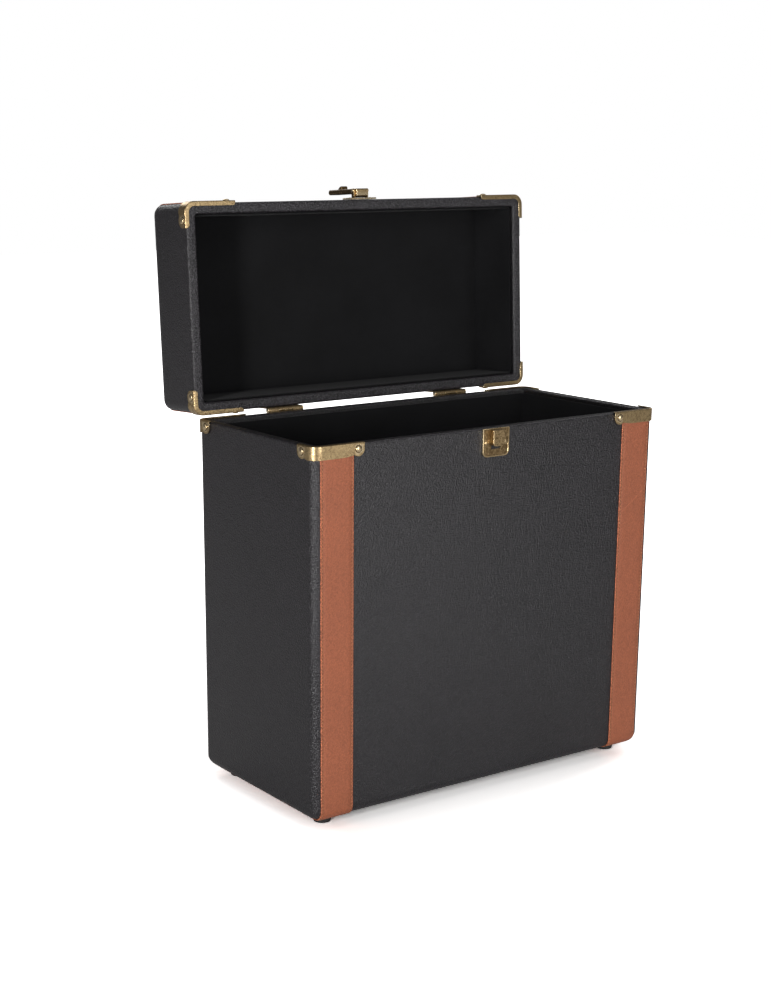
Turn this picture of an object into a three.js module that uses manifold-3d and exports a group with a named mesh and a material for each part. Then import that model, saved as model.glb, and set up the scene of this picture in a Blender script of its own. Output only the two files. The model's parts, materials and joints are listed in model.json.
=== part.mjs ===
import * as THREE from 'three';
import { mergeVertices } from 'three/addons/utils/BufferGeometryUtils.js';
import Module from 'manifold-3d';

// A carrying case for 12-inch records: a leatherette-covered box whose shallow lid is hinged
// along the back rim. X runs along the front, +Y to the back and +Z up. Lengths are in
// millimetres and angles in degrees. The lid stands open against the stops of its hinges.

const wasm = await Module();
wasm.setup();

// Driving dimensions of the box and its lid
const caseWidth = 355;
const caseDepth = 171.5;
const bodyHeight = 303.5;
const lidHeight = 64;
const footHeight = 8;
const wall = 9;
const cornerRadius = 7.5;
const bodyEdgeRadius = 12;
const lidEdgeRadius = 14;
const rimRadius = 2;
const cavityCornerRadius = 2.5;
const openAngle = 93.2;

// Clearances
const seatGap = 0.25;
const runningGap = 0.25;
const partingGap = 0.4;
const overrun = 5;

// Lining panels inside the box and the lid
const liningThickness = 1.2;
const liningSetback = 4;

// Leatherette bands over the front, the closed end and the back
const bandWidth = 31;
const bandInset = 6.3;
const bandThickness = 0.5;
const bandEndGap = 1.5;

// Corner brackets of the rims; positions are measured from the corner of the outer faces
const bracketThickness = 0.6;
const bracketHeight = 10;
const bracketLip = 4;
const lipChamfer = 1.6;
const lobeRadius = 5.8;
const rivetDrop = 4.2;
const longRivetReach = 41;
const longShoulderReach = 24.5;
const longCuspHeight = 6.2;
const shortRivetReach = 14;
const shortShoulderReach = 5.5;
const shortCuspHeight = 7.4;

// Domed rivets and screws: head radius, head height, shank radius and shank length
const rivetSizes = { head: 2.7, dome: 1.3, shank: 1.3, length: 6 };
const screwSizes = { head: 2.1, dome: 0.9, shank: 1.1, length: 6 };

// Feet
const footTopRadius = 8;
const footBottomRadius = 7.2;
const footEdge = 0.9;
const footSetback = 21;

// Hinges on the back face; each lies at a distance from the side of the case
const hingeInset = 87.5;
const leafWidth = 34;
const leafHeight = 24;
const leafThickness = 1.2;
const leafCorner = 3;
const knuckleRadius = 2.3;
const middleKnuckle = 13;
const hingePinRadius = 1.1;
const hingePinHead = 0.7;
const hingeScrewSpacing = 20;
const hingeScrewDrop = 15;
const stopReach = 7;
const stopThickness = 1.2;

// Catch plate on the front of the box
const catchWidth = 27.4;
const catchTop = 0.4;
const catchBottom = 23.7;
const catchCorner = 4.5;
const plateThickness = 0.9;
const plateBorder = 1.3;
const plateBorderHeight = 0.5;
const tongueWidth = 12;
const tongueTop = 1.4;
const tongueBottom = 14.8;
const tongueCorner = 3;
const tongueWall = 1.2;
const tongueReach = 5.6;
const slotBottom = 17.6;
const catchScrewSpacing = 20;
const catchScrewDrop = 12;

// Hasp on the front of the lid
const haspBaseWidth = 28;
const haspBaseRise = 0.8;
const haspBaseHeight = 10.8;
const haspPinRise = 5.6;
const haspPinRadius = 1.1;
const haspPinHeadRadius = 1.7;
const haspPinHead = 0.6;
const earThickness = 1.2;
const earRadius = 1.9;
const haspRivetSpacing = 21.6;
const haspRivetRadius = 1.8;
const haspRivetDome = 0.8;
const knuckleWidth = 12.4;
const knuckleFront = 4.3;
const heelReach = 4;
const armWidth = 11;
const armLength = 38;
const armThickness = 1.4;
const armDepth = 3.2;
const armStandoff = 4.5;
const armFlange = 1;
const noseWidth = 7;
const noseDepth = 2.8;
const noseLength = 2.8;
const noseSlope = 4.6;
const tipRadius = 1.9;

// Handle on top of the lid
const handleSpacing = 124;
const handleReach = 35;
const gripWidth = 17;
const gripThickness = 12;
const armSection = 7;
const armRise = 13;
const bendRise = 27;
const bendInset = 4;
const shoulderInset = 17;
const eyeRadius = 5;
const eyeWidth = 8;
const handlePinRadius = 2;
const mountLength = 27;
const mountWidth = 16;
const mountThickness = 1.5;
const lugThickness = 2;
const lugRadius = 3.4;
const mountRivetSpacing = 20.6;
const mountRivetRadius = 2;
const mountRivetDome = 0.9;

// Facets of round edges, fasteners and the grip
const cornerSteps = 4;
const edgeSteps = 4;
const curveSteps = 5;
const roundSegments = 12;
const domeSteps = 3;
const gripSteps = 22;
const mergeTolerance = 0.0001;

// Heights and offsets that follow from the sizes above
const halfWidth = caseWidth / 2;
const halfDepth = caseDepth / 2;
const bracketOuter = 2 * seatGap + bandThickness + bracketThickness;
const lipHeight = seatGap + bracketThickness;
const rimGap = 2 * lipHeight + partingGap;
const rimZ = footHeight + bodyHeight;
const lidRimZ = rimZ + rimGap;
const lidTopZ = lidRimZ + lidHeight;
const bandCentre = halfWidth - bandInset - bandWidth / 2;
const hingeOffset = seatGap + knuckleRadius;
const hingeY = halfDepth + hingeOffset;
const hingeZ = rimZ + rimGap / 2;
const plateFace = seatGap + plateThickness;
const borderFace = plateFace + plateBorderHeight;
const haspPinOffset = (tongueReach + seatGap + armDepth + borderFace + armStandoff) / 2;
const haspPinZ = lidRimZ + haspPinRise;
const handlePivotHeight = 2 * seatGap + mountThickness + eyeRadius;
const hangAngle = openAngle - 90;

const radians = THREE.MathUtils.degToRad;

// Surfaces of the pieces
function surface(color, roughness, metalness) {
  return new THREE.MeshStandardMaterial({ color, roughness, metalness, flatShading: true });
}
const blackLeatherette = surface(0x2c2b2d, 0.62, 0);
const brownLeatherette = surface(0x9c5a3c, 0.6, 0);
const blackLining = surface(0x111113, 0.9, 0);
const agedBrass = surface(0x8c7744, 0.42, 1);
const blackRubber = surface(0x161616, 0.8, 0);

// A solid from any closed geometry: shared corners are merged and the faces turned outward
function solid(geometry) {
  const bare = new THREE.BufferGeometry();
  bare.setAttribute('position', geometry.getAttribute('position'));
  if (geometry.index) bare.setIndex(geometry.index);
  const merged = mergeVertices(bare, mergeTolerance);
  const corners = merged.index.array;
  const at = (i) => new THREE.Vector3().fromBufferAttribute(merged.getAttribute('position'), i);
  const faces = [];
  let volume = 0;
  for (let i = 0; i < corners.length; i += 3) {
    const [a, b, c] = corners.slice(i, i + 3);
    if (a === b || b === c || c === a) continue;
    faces.push([a, b, c]);
    volume += at(a).dot(at(b).cross(at(c)));
  }
  const outward = volume > 0 ? faces : faces.map(([a, b, c]) => [a, c, b]);
  return new wasm.Manifold(new wasm.Mesh({
    numProp: 3,
    vertProperties: Float32Array.from(merged.getAttribute('position').array),
    triVerts: Uint32Array.from(outward.flat()),
  }));
}

function geometryOf(body) {
  const { vertProperties, triVerts } = body.getMesh();
  const geometry = new THREE.BufferGeometry();
  geometry.setAttribute('position', new THREE.BufferAttribute(vertProperties.slice(), 3));
  geometry.setIndex(new THREE.BufferAttribute(triVerts.slice(), 1));
  return geometry;
}

// The same solid mirrored where a sign is -1, then moved
function mirrored(body, signX, signY, signZ, moveZ = 0) {
  return solid(geometryOf(body).scale(signX, signY, signZ).translate(0, 0, moveZ));
}

function joined(...bodies) {
  return bodies.reduce((whole, body) => whole.add(body));
}

function cut(body, ...cutters) {
  return cutters.reduce((rest, cutter) => rest.subtract(cutter), body);
}

// A box between two opposite corners
function block([x0, y0, z0], [x1, y1, z1]) {
  const box = new THREE.BoxGeometry(Math.abs(x1 - x0), Math.abs(y1 - y0), Math.abs(z1 - z0));
  return solid(box.translate((x0 + x1) / 2, (y0 + y1) / 2, (z0 + z1) / 2));
}

function extruded(shape, depth) {
  return new THREE.ExtrudeGeometry(shape, { depth, bevelEnabled: false, curveSegments: curveSteps });
}

// An outline in X and Z, extruded from y0 to y1
function frontPrism(shape, y0, y1) {
  return solid(extruded(shape, y1 - y0).rotateX(Math.PI / 2).translate(0, y1, 0));
}

// An outline in Y and Z, extruded from x0 to x1
function sidePrism(shape, x0, x1) {
  const body = extruded(shape, x1 - x0).rotateX(Math.PI / 2).rotateZ(Math.PI / 2);
  return solid(body.translate(x0, 0, 0));
}

// An outline in X and Y, extruded from z0 to z1
function flatPrism(shape, z0, z1) {
  return solid(extruded(shape, z1 - z0).translate(0, 0, z0));
}

// A rod along X between x0 and x1
function crossRod(radius, x0, x1, y, z) {
  const rod = new THREE.CylinderGeometry(radius, radius, x1 - x0, roundSegments);
  return solid(rod.rotateZ(Math.PI / 2).translate((x0 + x1) / 2, y, z));
}

// A turned solid: its profile runs along an axis that points in the given direction from a place
function turned(profile, place, direction) {
  const points = profile.map(([radius, height]) => new THREE.Vector2(radius, height));
  const lathe = new THREE.LatheGeometry(points, roundSegments);
  const turn = new THREE.Quaternion().setFromUnitVectors(new THREE.Vector3(0, 1, 0), direction);
  return solid(lathe.applyQuaternion(turn).translate(place.x, place.y, place.z));
}

function domeProfile(radius, height) {
  const profile = [];
  for (let step = 0; step <= domeSteps; step++) {
    const angle = step / domeSteps * Math.PI / 2;
    profile.push([radius * Math.cos(angle), height * Math.sin(angle)]);
  }
  profile[domeSteps][0] = 0;
  return profile;
}

// A domed head whose underside is at the place, with its shank behind it
function fastener(sizes, place, direction) {
  const shank = [[0, -sizes.length], [sizes.shank, -sizes.length], [sizes.shank, 0]];
  return turned([...shank, ...domeProfile(sizes.head, sizes.dome)], place, direction);
}

// The hole that a fastener's shank sits in, from just above its head's underside
function shankHole(sizes, place, direction) {
  const radius = sizes.shank + seatGap;
  const depth = sizes.length + seatGap;
  return turned([[0, -depth], [radius, -depth], [radius, seatGap], [0, seatGap]], place, direction);
}

// One ring of a block with rounded upright edges, counter-clockwise seen from above
function ring(halfX, halfY, radius, z) {
  const points = [];
  [[1, 1], [-1, 1], [-1, -1], [1, -1]].forEach(([signX, signY], quarter) => {
    for (let step = 0; step <= cornerSteps; step++) {
      const angle = (quarter + step / cornerSteps) * Math.PI / 2;
      const x = signX * (halfX - radius) + radius * Math.cos(angle);
      const y = signY * (halfY - radius) + radius * Math.sin(angle);
      points.push(new THREE.Vector3(x, y, z));
    }
  });
  return points;
}

// A closed skin over rings of equal counts, with a flat cap on the first and the last
function loft(rings) {
  const count = rings[0].length;
  const last = (rings.length - 1) * count;
  const index = [];
  for (let low = 0; low < last; low += count) {
    for (let i = 0; i < count; i++) {
      const next = (i + 1) % count;
      index.push(low + i, low + next, low + count + next);
      index.push(low + i, low + count + next, low + count + i);
    }
  }
  for (let i = 1; i + 1 < count; i++) {
    index.push(0, i + 1, i, last, last + i, last + i + 1);
  }
  const geometry = new THREE.BufferGeometry().setFromPoints(rings.flat());
  geometry.setIndex(index);
  return solid(geometry);
}

// The outer form of the box or the lid, grown by an offset. Its upright edges and the edges of
// its closed end are rounded, and so is the rim where a rim radius is given.
function caseForm(closedZ, openZ, edgeRadius, offset, rim = 0) {
  const inward = Math.sign(openZ - closedZ);
  const edge = edgeRadius + offset;
  const upright = cornerRadius + offset;
  const at = (inset, z) => ring(
    halfWidth + offset - inset, halfDepth + offset - inset, upright, z);
  const rings = [];
  for (let step = 0; step <= edgeSteps; step++) {
    const angle = step / edgeSteps * Math.PI / 2;
    const height = edge * (1 - Math.cos(angle)) - offset;
    rings.push(at(edge * (1 - Math.sin(angle)), closedZ + inward * height));
  }
  rings.push(at(0, openZ - inward * rim));
  if (rim > 0) rings.push(at(rim, openZ));
  return loft(inward > 0 ? rings : rings.reverse());
}

// A cavity with a flat floor, inset from the outer faces and flared at the rim
function cavity(floorZ, openZ, inset, radius, flare = 0) {
  const inward = Math.sign(openZ - floorZ);
  const at = (grow, z) => ring(halfWidth - inset + grow, halfDepth - inset + grow, radius + grow, z);
  const rings = [at(0, floorZ), at(0, openZ - inward * flare)];
  if (flare > 0) rings.push(at(flare, openZ), at(flare, openZ + inward * overrun));
  return loft(inward > 0 ? rings : rings.reverse());
}

// The covered board shell of the box or the lid
function shell(closedZ, openZ, edgeRadius) {
  const inward = Math.sign(openZ - closedZ);
  const outer = caseForm(closedZ, openZ, edgeRadius, 0, rimRadius);
  return cut(outer, cavity(closedZ + inward * wall, openZ, wall, cavityCornerRadius, rimRadius));
}

// The lining tray: a floor and four panels that stop short of the rim
function lining(closedZ, openZ) {
  const inward = Math.sign(openZ - closedZ);
  const floorZ = closedZ + inward * (wall + seatGap);
  const edgeZ = openZ - inward * liningSetback;
  const outer = cavity(floorZ, edgeZ, wall + seatGap, cavityCornerRadius);
  const innerFloor = floorZ + inward * liningThickness;
  const inset = wall + seatGap + liningThickness;
  return cut(outer, cavity(innerFloor, edgeZ + inward * overrun, inset, cavityCornerRadius));
}

// One band: down the front, round the closed end and up the back
function band(side, closedZ, openZ, edgeRadius) {
  const inward = Math.sign(openZ - closedZ);
  const endZ = openZ - inward * bandEndGap;
  const outer = caseForm(closedZ, endZ, edgeRadius, seatGap + bandThickness);
  const inner = caseForm(closedZ, openZ + inward * overrun, edgeRadius, seatGap);
  const low = Math.min(closedZ, openZ) - lidEdgeRadius;
  const high = Math.max(closedZ, openZ) + lidEdgeRadius;
  const from = side * (halfWidth - bandInset);
  const to = side * (halfWidth - bandInset - bandWidth);
  const slab = block([from, -caseDepth, low], [to, caseDepth, high]);
  return cut(outer, inner).intersect(slab);
}

// Wall outline of one bracket flange: a straight edge, a shoulder that rises to a cusp, and a
// round lobe at its end. It runs from the corner along the first coordinate, with the rim at 0.
function flangeShape(start, rivetReach, shoulderReach, cuspHeight) {
  const entry = Math.asin((cuspHeight - rivetDrop) / lobeRadius);
  const cuspReach = rivetReach - lobeRadius * Math.cos(entry);
  const shape = new THREE.Shape();
  shape.moveTo(start, lipHeight);
  shape.lineTo(start, -bracketHeight);
  shape.lineTo(start + shoulderReach, -bracketHeight);
  shape.quadraticCurveTo(start + (shoulderReach + cuspReach) / 2, -bracketHeight,
    start + cuspReach, -cuspHeight);
  shape.absarc(start + rivetReach, -rivetDrop, lobeRadius, entry - Math.PI, 0, false);
  shape.lineTo(start + rivetReach + lobeRadius, lipHeight);
  return shape;
}

// A lip that folds over the rim, with chamfered ends; it runs along the first coordinate
function lipShape(from, to, outer, inner) {
  const shape = new THREE.Shape();
  shape.moveTo(from, outer);
  shape.lineTo(to, outer);
  shape.lineTo(to, inner - lipChamfer);
  shape.lineTo(to - lipChamfer, inner);
  shape.lineTo(from + lipChamfer, inner);
  shape.lineTo(from, inner - lipChamfer);
  return shape;
}

// Places of the two rivets of the bracket at the front left corner, with the rim at z = 0
const longRivetPlace = new THREE.Vector3(
  -halfWidth + longRivetReach, -halfDepth - bracketOuter - seatGap, -rivetDrop);
const shortRivetPlace = new THREE.Vector3(
  -halfWidth - bracketOuter - seatGap, -halfDepth + shortRivetReach, -rivetDrop);
const frontward = new THREE.Vector3(0, -1, 0);
const backward = new THREE.Vector3(0, 1, 0);
const leftward = new THREE.Vector3(-1, 0, 0);
const upward = new THREE.Vector3(0, 0, 1);

// The bracket of the front left corner of the box, with the rim at z = 0
function cornerBracket() {
  const lowZ = -bracketHeight - overrun;
  const sleeve = (offset, top) => loft([
    ring(halfWidth + offset, halfDepth + offset, cornerRadius + offset, lowZ),
    ring(halfWidth + offset, halfDepth + offset, cornerRadius + offset, top),
  ]);
  const layer = cut(sleeve(bracketOuter, lipHeight), sleeve(seatGap, lipHeight + overrun));
  const longFlange = flangeShape(-halfWidth, longRivetReach, longShoulderReach, longCuspHeight);
  const shortFlange = flangeShape(
    -halfDepth, shortRivetReach, shortShoulderReach, shortCuspHeight);
  const halfCorner = cornerRadius / 2;
  const mask = joined(
    frontPrism(longFlange, -halfDepth - overrun, -halfDepth + halfCorner),
    sidePrism(shortFlange, -halfWidth - overrun, -halfWidth + halfCorner),
    block([-halfWidth - overrun, -halfDepth - overrun, -bracketHeight],
      [-halfWidth + halfCorner, -halfDepth + halfCorner, lipHeight]),
  );
  const longEnd = -halfWidth + longRivetReach + lobeRadius;
  const shortEnd = -halfDepth + shortRivetReach + lobeRadius;
  const longLip = lipShape(-halfWidth + cornerRadius, longEnd,
    -halfDepth - bracketOuter, -halfDepth + bracketLip);
  const shortLip = new THREE.Shape(lipShape(-halfDepth + cornerRadius, shortEnd,
    -halfWidth - bracketOuter, -halfWidth + bracketLip).getPoints()
    .map((point) => new THREE.Vector2(point.y, point.x)).reverse());
  const clearance = seatGap + bandThickness + seatGap;
  const bandSlot = sleeve(clearance, 0).intersect(block(
    [-halfWidth + bandInset - seatGap, -halfDepth - overrun, lowZ],
    [-halfWidth + bandInset + bandWidth + seatGap, 0, 0]));
  return cut(
    joined(cut(layer.intersect(mask), bandSlot),
      flatPrism(longLip, seatGap, lipHeight), flatPrism(shortLip, seatGap, lipHeight)),
    shankHole(rivetSizes, longRivetPlace, frontward),
    shankHole(rivetSizes, shortRivetPlace, leftward));
}

// Hinge parts lie round the axis, which is their origin; the case's back face is at -hingeOffset
function leafPlate(up) {
  const shape = new THREE.Shape();
  const side = leafWidth / 2;
  shape.moveTo(-side, 0);
  shape.lineTo(side, 0);
  shape.lineTo(side, leafHeight - leafCorner);
  shape.lineTo(side - leafCorner, leafHeight);
  shape.lineTo(-side + leafCorner, leafHeight);
  shape.lineTo(-side, leafHeight - leafCorner);
  const back = -hingeOffset + seatGap;
  return mirrored(frontPrism(shape, back, back + leafThickness), 1, 1, up);
}

function leafScrewPlace(end, up) {
  return new THREE.Vector3(
    end * hingeScrewSpacing / 2, -hingeOffset + 2 * seatGap + leafThickness, up * hingeScrewDrop);
}

function leafHoles(up) {
  return [-1, 1].map((end) => shankHole(screwSizes, leafScrewPlace(end, up), backward));
}

function outerKnuckles(radius, margin) {
  const inner = middleKnuckle / 2 - margin;
  const outer = leafWidth / 2 + margin;
  return joined(crossRod(radius, inner, outer, 0, 0), crossRod(radius, -outer, -inner, 0, 0));
}

function pinBore() {
  return crossRod(hingePinRadius + runningGap, -leafWidth, leafWidth, 0, 0);
}

function bodyLeaf() {
  const middle = middleKnuckle / 2 + seatGap;
  const clearing = crossRod(knuckleRadius + seatGap, -middle, middle, 0, 0);
  const plate = cut(leafPlate(-1), clearing);
  return cut(joined(plate, outerKnuckles(knuckleRadius, -seatGap)), pinBore(), ...leafHoles(-1));
}

// The lid's leaf has the middle knuckle, and a stop that meets the other leaf when the lid is open
function lidLeaf() {
  const middle = middleKnuckle / 2;
  const stopFace = -hingeOffset + 2 * seatGap + leafThickness;
  const stop = block([-middle, stopFace, -stopReach], [middle, stopFace + stopThickness, 0]);
  const closedStop = solid(geometryOf(stop).rotateX(radians(openAngle)));
  const plate = cut(leafPlate(1), outerKnuckles(knuckleRadius + seatGap, seatGap));
  const knuckle = crossRod(knuckleRadius, -middle, middle, 0, 0);
  return cut(joined(plate, knuckle, closedStop), pinBore(), ...leafHoles(1));
}

// A pin with a small head beyond each end of the knuckles
function hingePin() {
  const reach = leafWidth / 2 + seatGap;
  const head = reach + hingePinHead;
  return joined(
    crossRod(hingePinRadius, -reach, reach, 0, 0),
    crossRod(knuckleRadius, reach, head, 0, 0),
    crossRod(knuckleRadius, -head, -reach, 0, 0));
}

// A plate outline that hangs from the line z = 0, with round lower corners
function hangingPlate(width, top, bottom, corner, inset) {
  const side = width / 2 - inset;
  const radius = Math.max(corner - inset, 0);
  const low = -bottom + inset;
  const shape = new THREE.Shape();
  shape.moveTo(-side, -top - inset);
  shape.lineTo(-side, low + radius);
  shape.absarc(-side + radius, low + radius, radius, Math.PI, Math.PI * 3 / 2, false);
  shape.absarc(side - radius, low + radius, radius, Math.PI * 3 / 2, Math.PI * 2, false);
  shape.lineTo(side, -top - inset);
  return shape;
}

function catchScrewPlace(side) {
  const y = -halfDepth - plateFace - seatGap;
  return new THREE.Vector3(side * catchScrewSpacing / 2, y, rimZ - catchScrewDrop);
}

// The catch plate: a bordered plate whose raised tongue is open below
function catchPlate() {
  const back = -halfDepth - seatGap;
  const plate = frontPrism(hangingPlate(catchWidth, catchTop, catchBottom, catchCorner, 0),
    -halfDepth - borderFace, back);
  const field = frontPrism(
    hangingPlate(catchWidth, catchTop, catchBottom, catchCorner, plateBorder),
    -halfDepth - borderFace - overrun, -halfDepth - plateFace);
  const tongue = frontPrism(hangingPlate(tongueWidth, tongueTop, tongueBottom, tongueCorner, 0),
    -halfDepth - tongueReach, -halfDepth - plateFace + plateThickness / 2);
  const slotSide = tongueWidth / 2 - tongueWall;
  const slot = block([-slotSide, -halfDepth - tongueReach + tongueWall, -slotBottom],
    [slotSide, 0, -tongueTop - tongueWall]);
  const plain = cut(joined(cut(plate, field), tongue), slot);
  const placed = solid(geometryOf(plain).translate(0, 0, rimZ));
  return cut(placed, ...[-1, 1].map((side) => (
    shankHole(screwSizes, catchScrewPlace(side), frontward))));
}

// The hasp's base: a bordered plate with two ears for the pin and a rivet on each side
function haspBase() {
  const low = lidRimZ + haspBaseRise;
  const side = haspBaseWidth / 2;
  const plate = block([-side, -halfDepth - borderFace, low],
    [side, -halfDepth - seatGap, low + haspBaseHeight]);
  const field = block([-side + plateBorder, -halfDepth - borderFace - overrun, low + plateBorder],
    [side - plateBorder, -halfDepth - plateFace, low + haspBaseHeight - plateBorder]);
  const pinY = -halfDepth - haspPinOffset;
  const earIn = knuckleWidth / 2 + seatGap;
  const ears = [-1, 1].map((sign) => {
    const from = sign > 0 ? earIn : -earIn - earThickness;
    return joined(
      block([from, -halfDepth - plateFace + plateThickness / 2, haspPinZ - earRadius],
        [from + earThickness, pinY, haspPinZ + earRadius]),
      crossRod(earRadius, from, from + earThickness, pinY, haspPinZ));
  });
  const rivets = [-1, 1].map((sign) => turned(
    [[0, -plateThickness / 2], [haspRivetRadius, -plateThickness / 2],
      ...domeProfile(haspRivetRadius, haspRivetDome)],
    new THREE.Vector3(sign * haspRivetSpacing / 2, -halfDepth - plateFace, haspPinZ), frontward));
  const bore = crossRod(haspPinRadius + runningGap, -side, side, pinY, haspPinZ);
  return cut(joined(cut(plate, field), ...ears, ...rivets), bore);
}

function haspPin() {
  const pinY = -halfDepth - haspPinOffset;
  const reach = knuckleWidth / 2 + 2 * seatGap + earThickness;
  const head = reach + haspPinHead;
  return joined(
    crossRod(haspPinRadius, -reach, reach, pinY, haspPinZ),
    crossRod(haspPinHeadRadius, reach, head, pinY, haspPinZ),
    crossRod(haspPinHeadRadius, -head, -reach, pinY, haspPinZ));
}

// The hasp lies folded back along the front of the lid. Its outlines run along Z from the pin,
// and their other coordinate stands off the lid.
function haspLever() {
  const heelDrop = haspPinOffset - borderFace - seatGap;
  const top = haspPinOffset - tongueReach - seatGap;
  const outline = (points) => new THREE.Shape(points.map(([along, off]) => (
    new THREE.Vector2(-halfDepth - haspPinOffset - off, haspPinZ + along))));
  const across = (shape, width) => sidePrism(shape, -width / 2, width / 2);
  const knuckle = [[-knuckleFront, top], [heelReach, top], [heelReach, -heelDrop]];
  const startAngle = -Math.PI / 2;
  const endAngle = -Math.PI + Math.acos(knuckleFront / heelDrop);
  for (let step = 0; step <= cornerSteps; step++) {
    const angle = startAngle + step / cornerSteps * (endAngle - startAngle);
    knuckle.push([heelDrop * Math.cos(angle), heelDrop * Math.sin(angle)]);
  }
  const arm = [[0, top], [armLength, top], [armLength, top - armDepth], [0, top - armDepth]];
  const trough = [[heelReach, top - armThickness], [armLength, top - armThickness],
    [armLength, top - armDepth - overrun], [heelReach, top - armDepth - overrun]];
  const noseNear = haspPinRise + rimGap + tongueBottom + seatGap;
  const noseFar = noseNear + noseLength;
  const root = top - armThickness / 2;
  const nose = [[noseNear, root], [noseNear, top + noseDepth], [noseFar, top + noseDepth],
    [noseFar + noseSlope, root]];
  const channel = cut(across(outline(arm), armWidth),
    across(outline(trough), armWidth - 2 * armFlange));
  const tip = crossRod(tipRadius, -armWidth / 2, armWidth / 2,
    -halfDepth - haspPinOffset - top + tipRadius, haspPinZ + armLength);
  const bore = crossRod(haspPinRadius + runningGap, -knuckleWidth, knuckleWidth,
    -halfDepth - haspPinOffset, haspPinZ);
  return cut(
    joined(across(outline(knuckle), knuckleWidth), channel, across(outline(nose), noseWidth), tip),
    bore);
}

// Handle parts lie round the pivot line: X along it, Y away from it and Z off the lid
function handleGrip() {
  const half = handleSpacing / 2;
  const sidePoints = [[half, 0], [half, armRise], [half - bendInset, bendRise],
    [half - shoulderInset, handleReach]];
  const points = [...sidePoints, [0, handleReach],
    ...sidePoints.map(([x, y]) => [-x, y]).reverse()];
  const path = new THREE.CatmullRomCurve3(points.map(([x, y]) => new THREE.Vector3(x, y, 0)));
  const rings = [];
  for (let step = 0; step <= gripSteps; step++) {
    const along = step / gripSteps;
    const centre = path.getPointAt(along);
    const tangent = path.getTangentAt(along);
    const side = new THREE.Vector3(tangent.y, -tangent.x, 0);
    const fullness = THREE.MathUtils.smoothstep(centre.y, armRise, handleReach);
    const wide = THREE.MathUtils.lerp(armSection, gripWidth, fullness) / 2;
    const thick = THREE.MathUtils.lerp(armSection, gripThickness, fullness) / 2;
    const points = [];
    for (let i = 0; i < roundSegments; i++) {
      const angle = i / roundSegments * Math.PI * 2;
      points.push(centre.clone().addScaledVector(side, wide * Math.cos(angle))
        .addScaledVector(upward, thick * Math.sin(angle)));
    }
    rings.push(points);
  }
  const eyes = [-1, 1].map((sign) => (
    crossRod(eyeRadius, sign * half - eyeWidth / 2, sign * half + eyeWidth / 2, 0, 0)));
  const bore = crossRod(handlePinRadius + runningGap, -handleSpacing, handleSpacing, 0, 0);
  return cut(joined(loft(rings), ...eyes), bore);
}

// One handle mount: a plate with two lugs, the pivot pin between them and two riveted ends
function handleMount(sign) {
  const centre = sign * handleSpacing / 2;
  const top = -handlePivotHeight + seatGap + mountThickness;
  const plate = block([centre - mountLength / 2, -mountWidth / 2, top - mountThickness],
    [centre + mountLength / 2, mountWidth / 2, top]);
  const lugIn = eyeWidth / 2 + seatGap;
  const lugs = [centre + lugIn, centre - lugIn - lugThickness].map((from) => joined(
    block([from, -lugRadius, top - mountThickness / 2], [from + lugThickness, lugRadius, 0]),
    crossRod(lugRadius, from, from + lugThickness, 0, 0)));
  const reach = lugIn + lugThickness / 2;
  const pin = crossRod(handlePinRadius, centre - reach, centre + reach, 0, 0);
  const rivets = [-1, 1].map((end) => turned(
    [[0, -mountThickness / 2], [mountRivetRadius, -mountThickness / 2],
      ...domeProfile(mountRivetRadius, mountRivetDome)],
    new THREE.Vector3(centre + end * mountRivetSpacing / 2, 0, top), upward));
  return joined(plate, ...lugs, pin, ...rivets);
}

function foot() {
  const top = footHeight - 2 * seatGap - bandThickness;
  return turned([[0, 0], [footBottomRadius - footEdge, 0], [footBottomRadius, footEdge],
    [footTopRadius, top], [0, top]], new THREE.Vector3(), upward);
}

const part = new THREE.Group();
const assembly = new THREE.Group();
part.add(assembly);

function addPiece(group, name, body, material) {
  const mesh = new THREE.Mesh(geometryOf(body), material);
  mesh.name = name;
  group.add(mesh);
  return mesh;
}

const sideNames = [['left', -1], ['right', 1]];
const endNames = [['front', 1], ['back', -1]];

// Every place where a screw or a rivet enters the box or the lid, as holes in its shell
const hingeCentre = (side) => new THREE.Vector3(side * (halfWidth - hingeInset), hingeY, hingeZ);

function rimRivets(signZ, moveZ) {
  const placed = [];
  for (const [endName, signY] of endNames) {
    for (const [sideName, sign] of sideNames) {
      const flip = (body) => mirrored(body, -sign, signY, signZ, moveZ);
      for (const [face, place, direction] of [
        ['long', longRivetPlace, frontward], ['short', shortRivetPlace, leftward]]) {
        placed.push({
          name: `${endName}_${sideName}_${face}`,
          rivet: flip(fastener(rivetSizes, place, direction)),
          hole: flip(shankHole(rivetSizes, place, direction)),
        });
      }
    }
  }
  return placed;
}

function hingeScrews(up) {
  const placed = [];
  for (const [sideName, side] of sideNames) {
    for (const [number, end] of [-1, 1].entries()) {
      const place = leafScrewPlace(end, up).add(hingeCentre(side));
      placed.push({
        name: `${sideName}_${number + 1}`,
        screw: fastener(screwSizes, place, backward),
        hole: shankHole(screwSizes, place, backward),
      });
    }
  }
  return placed;
}

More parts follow.
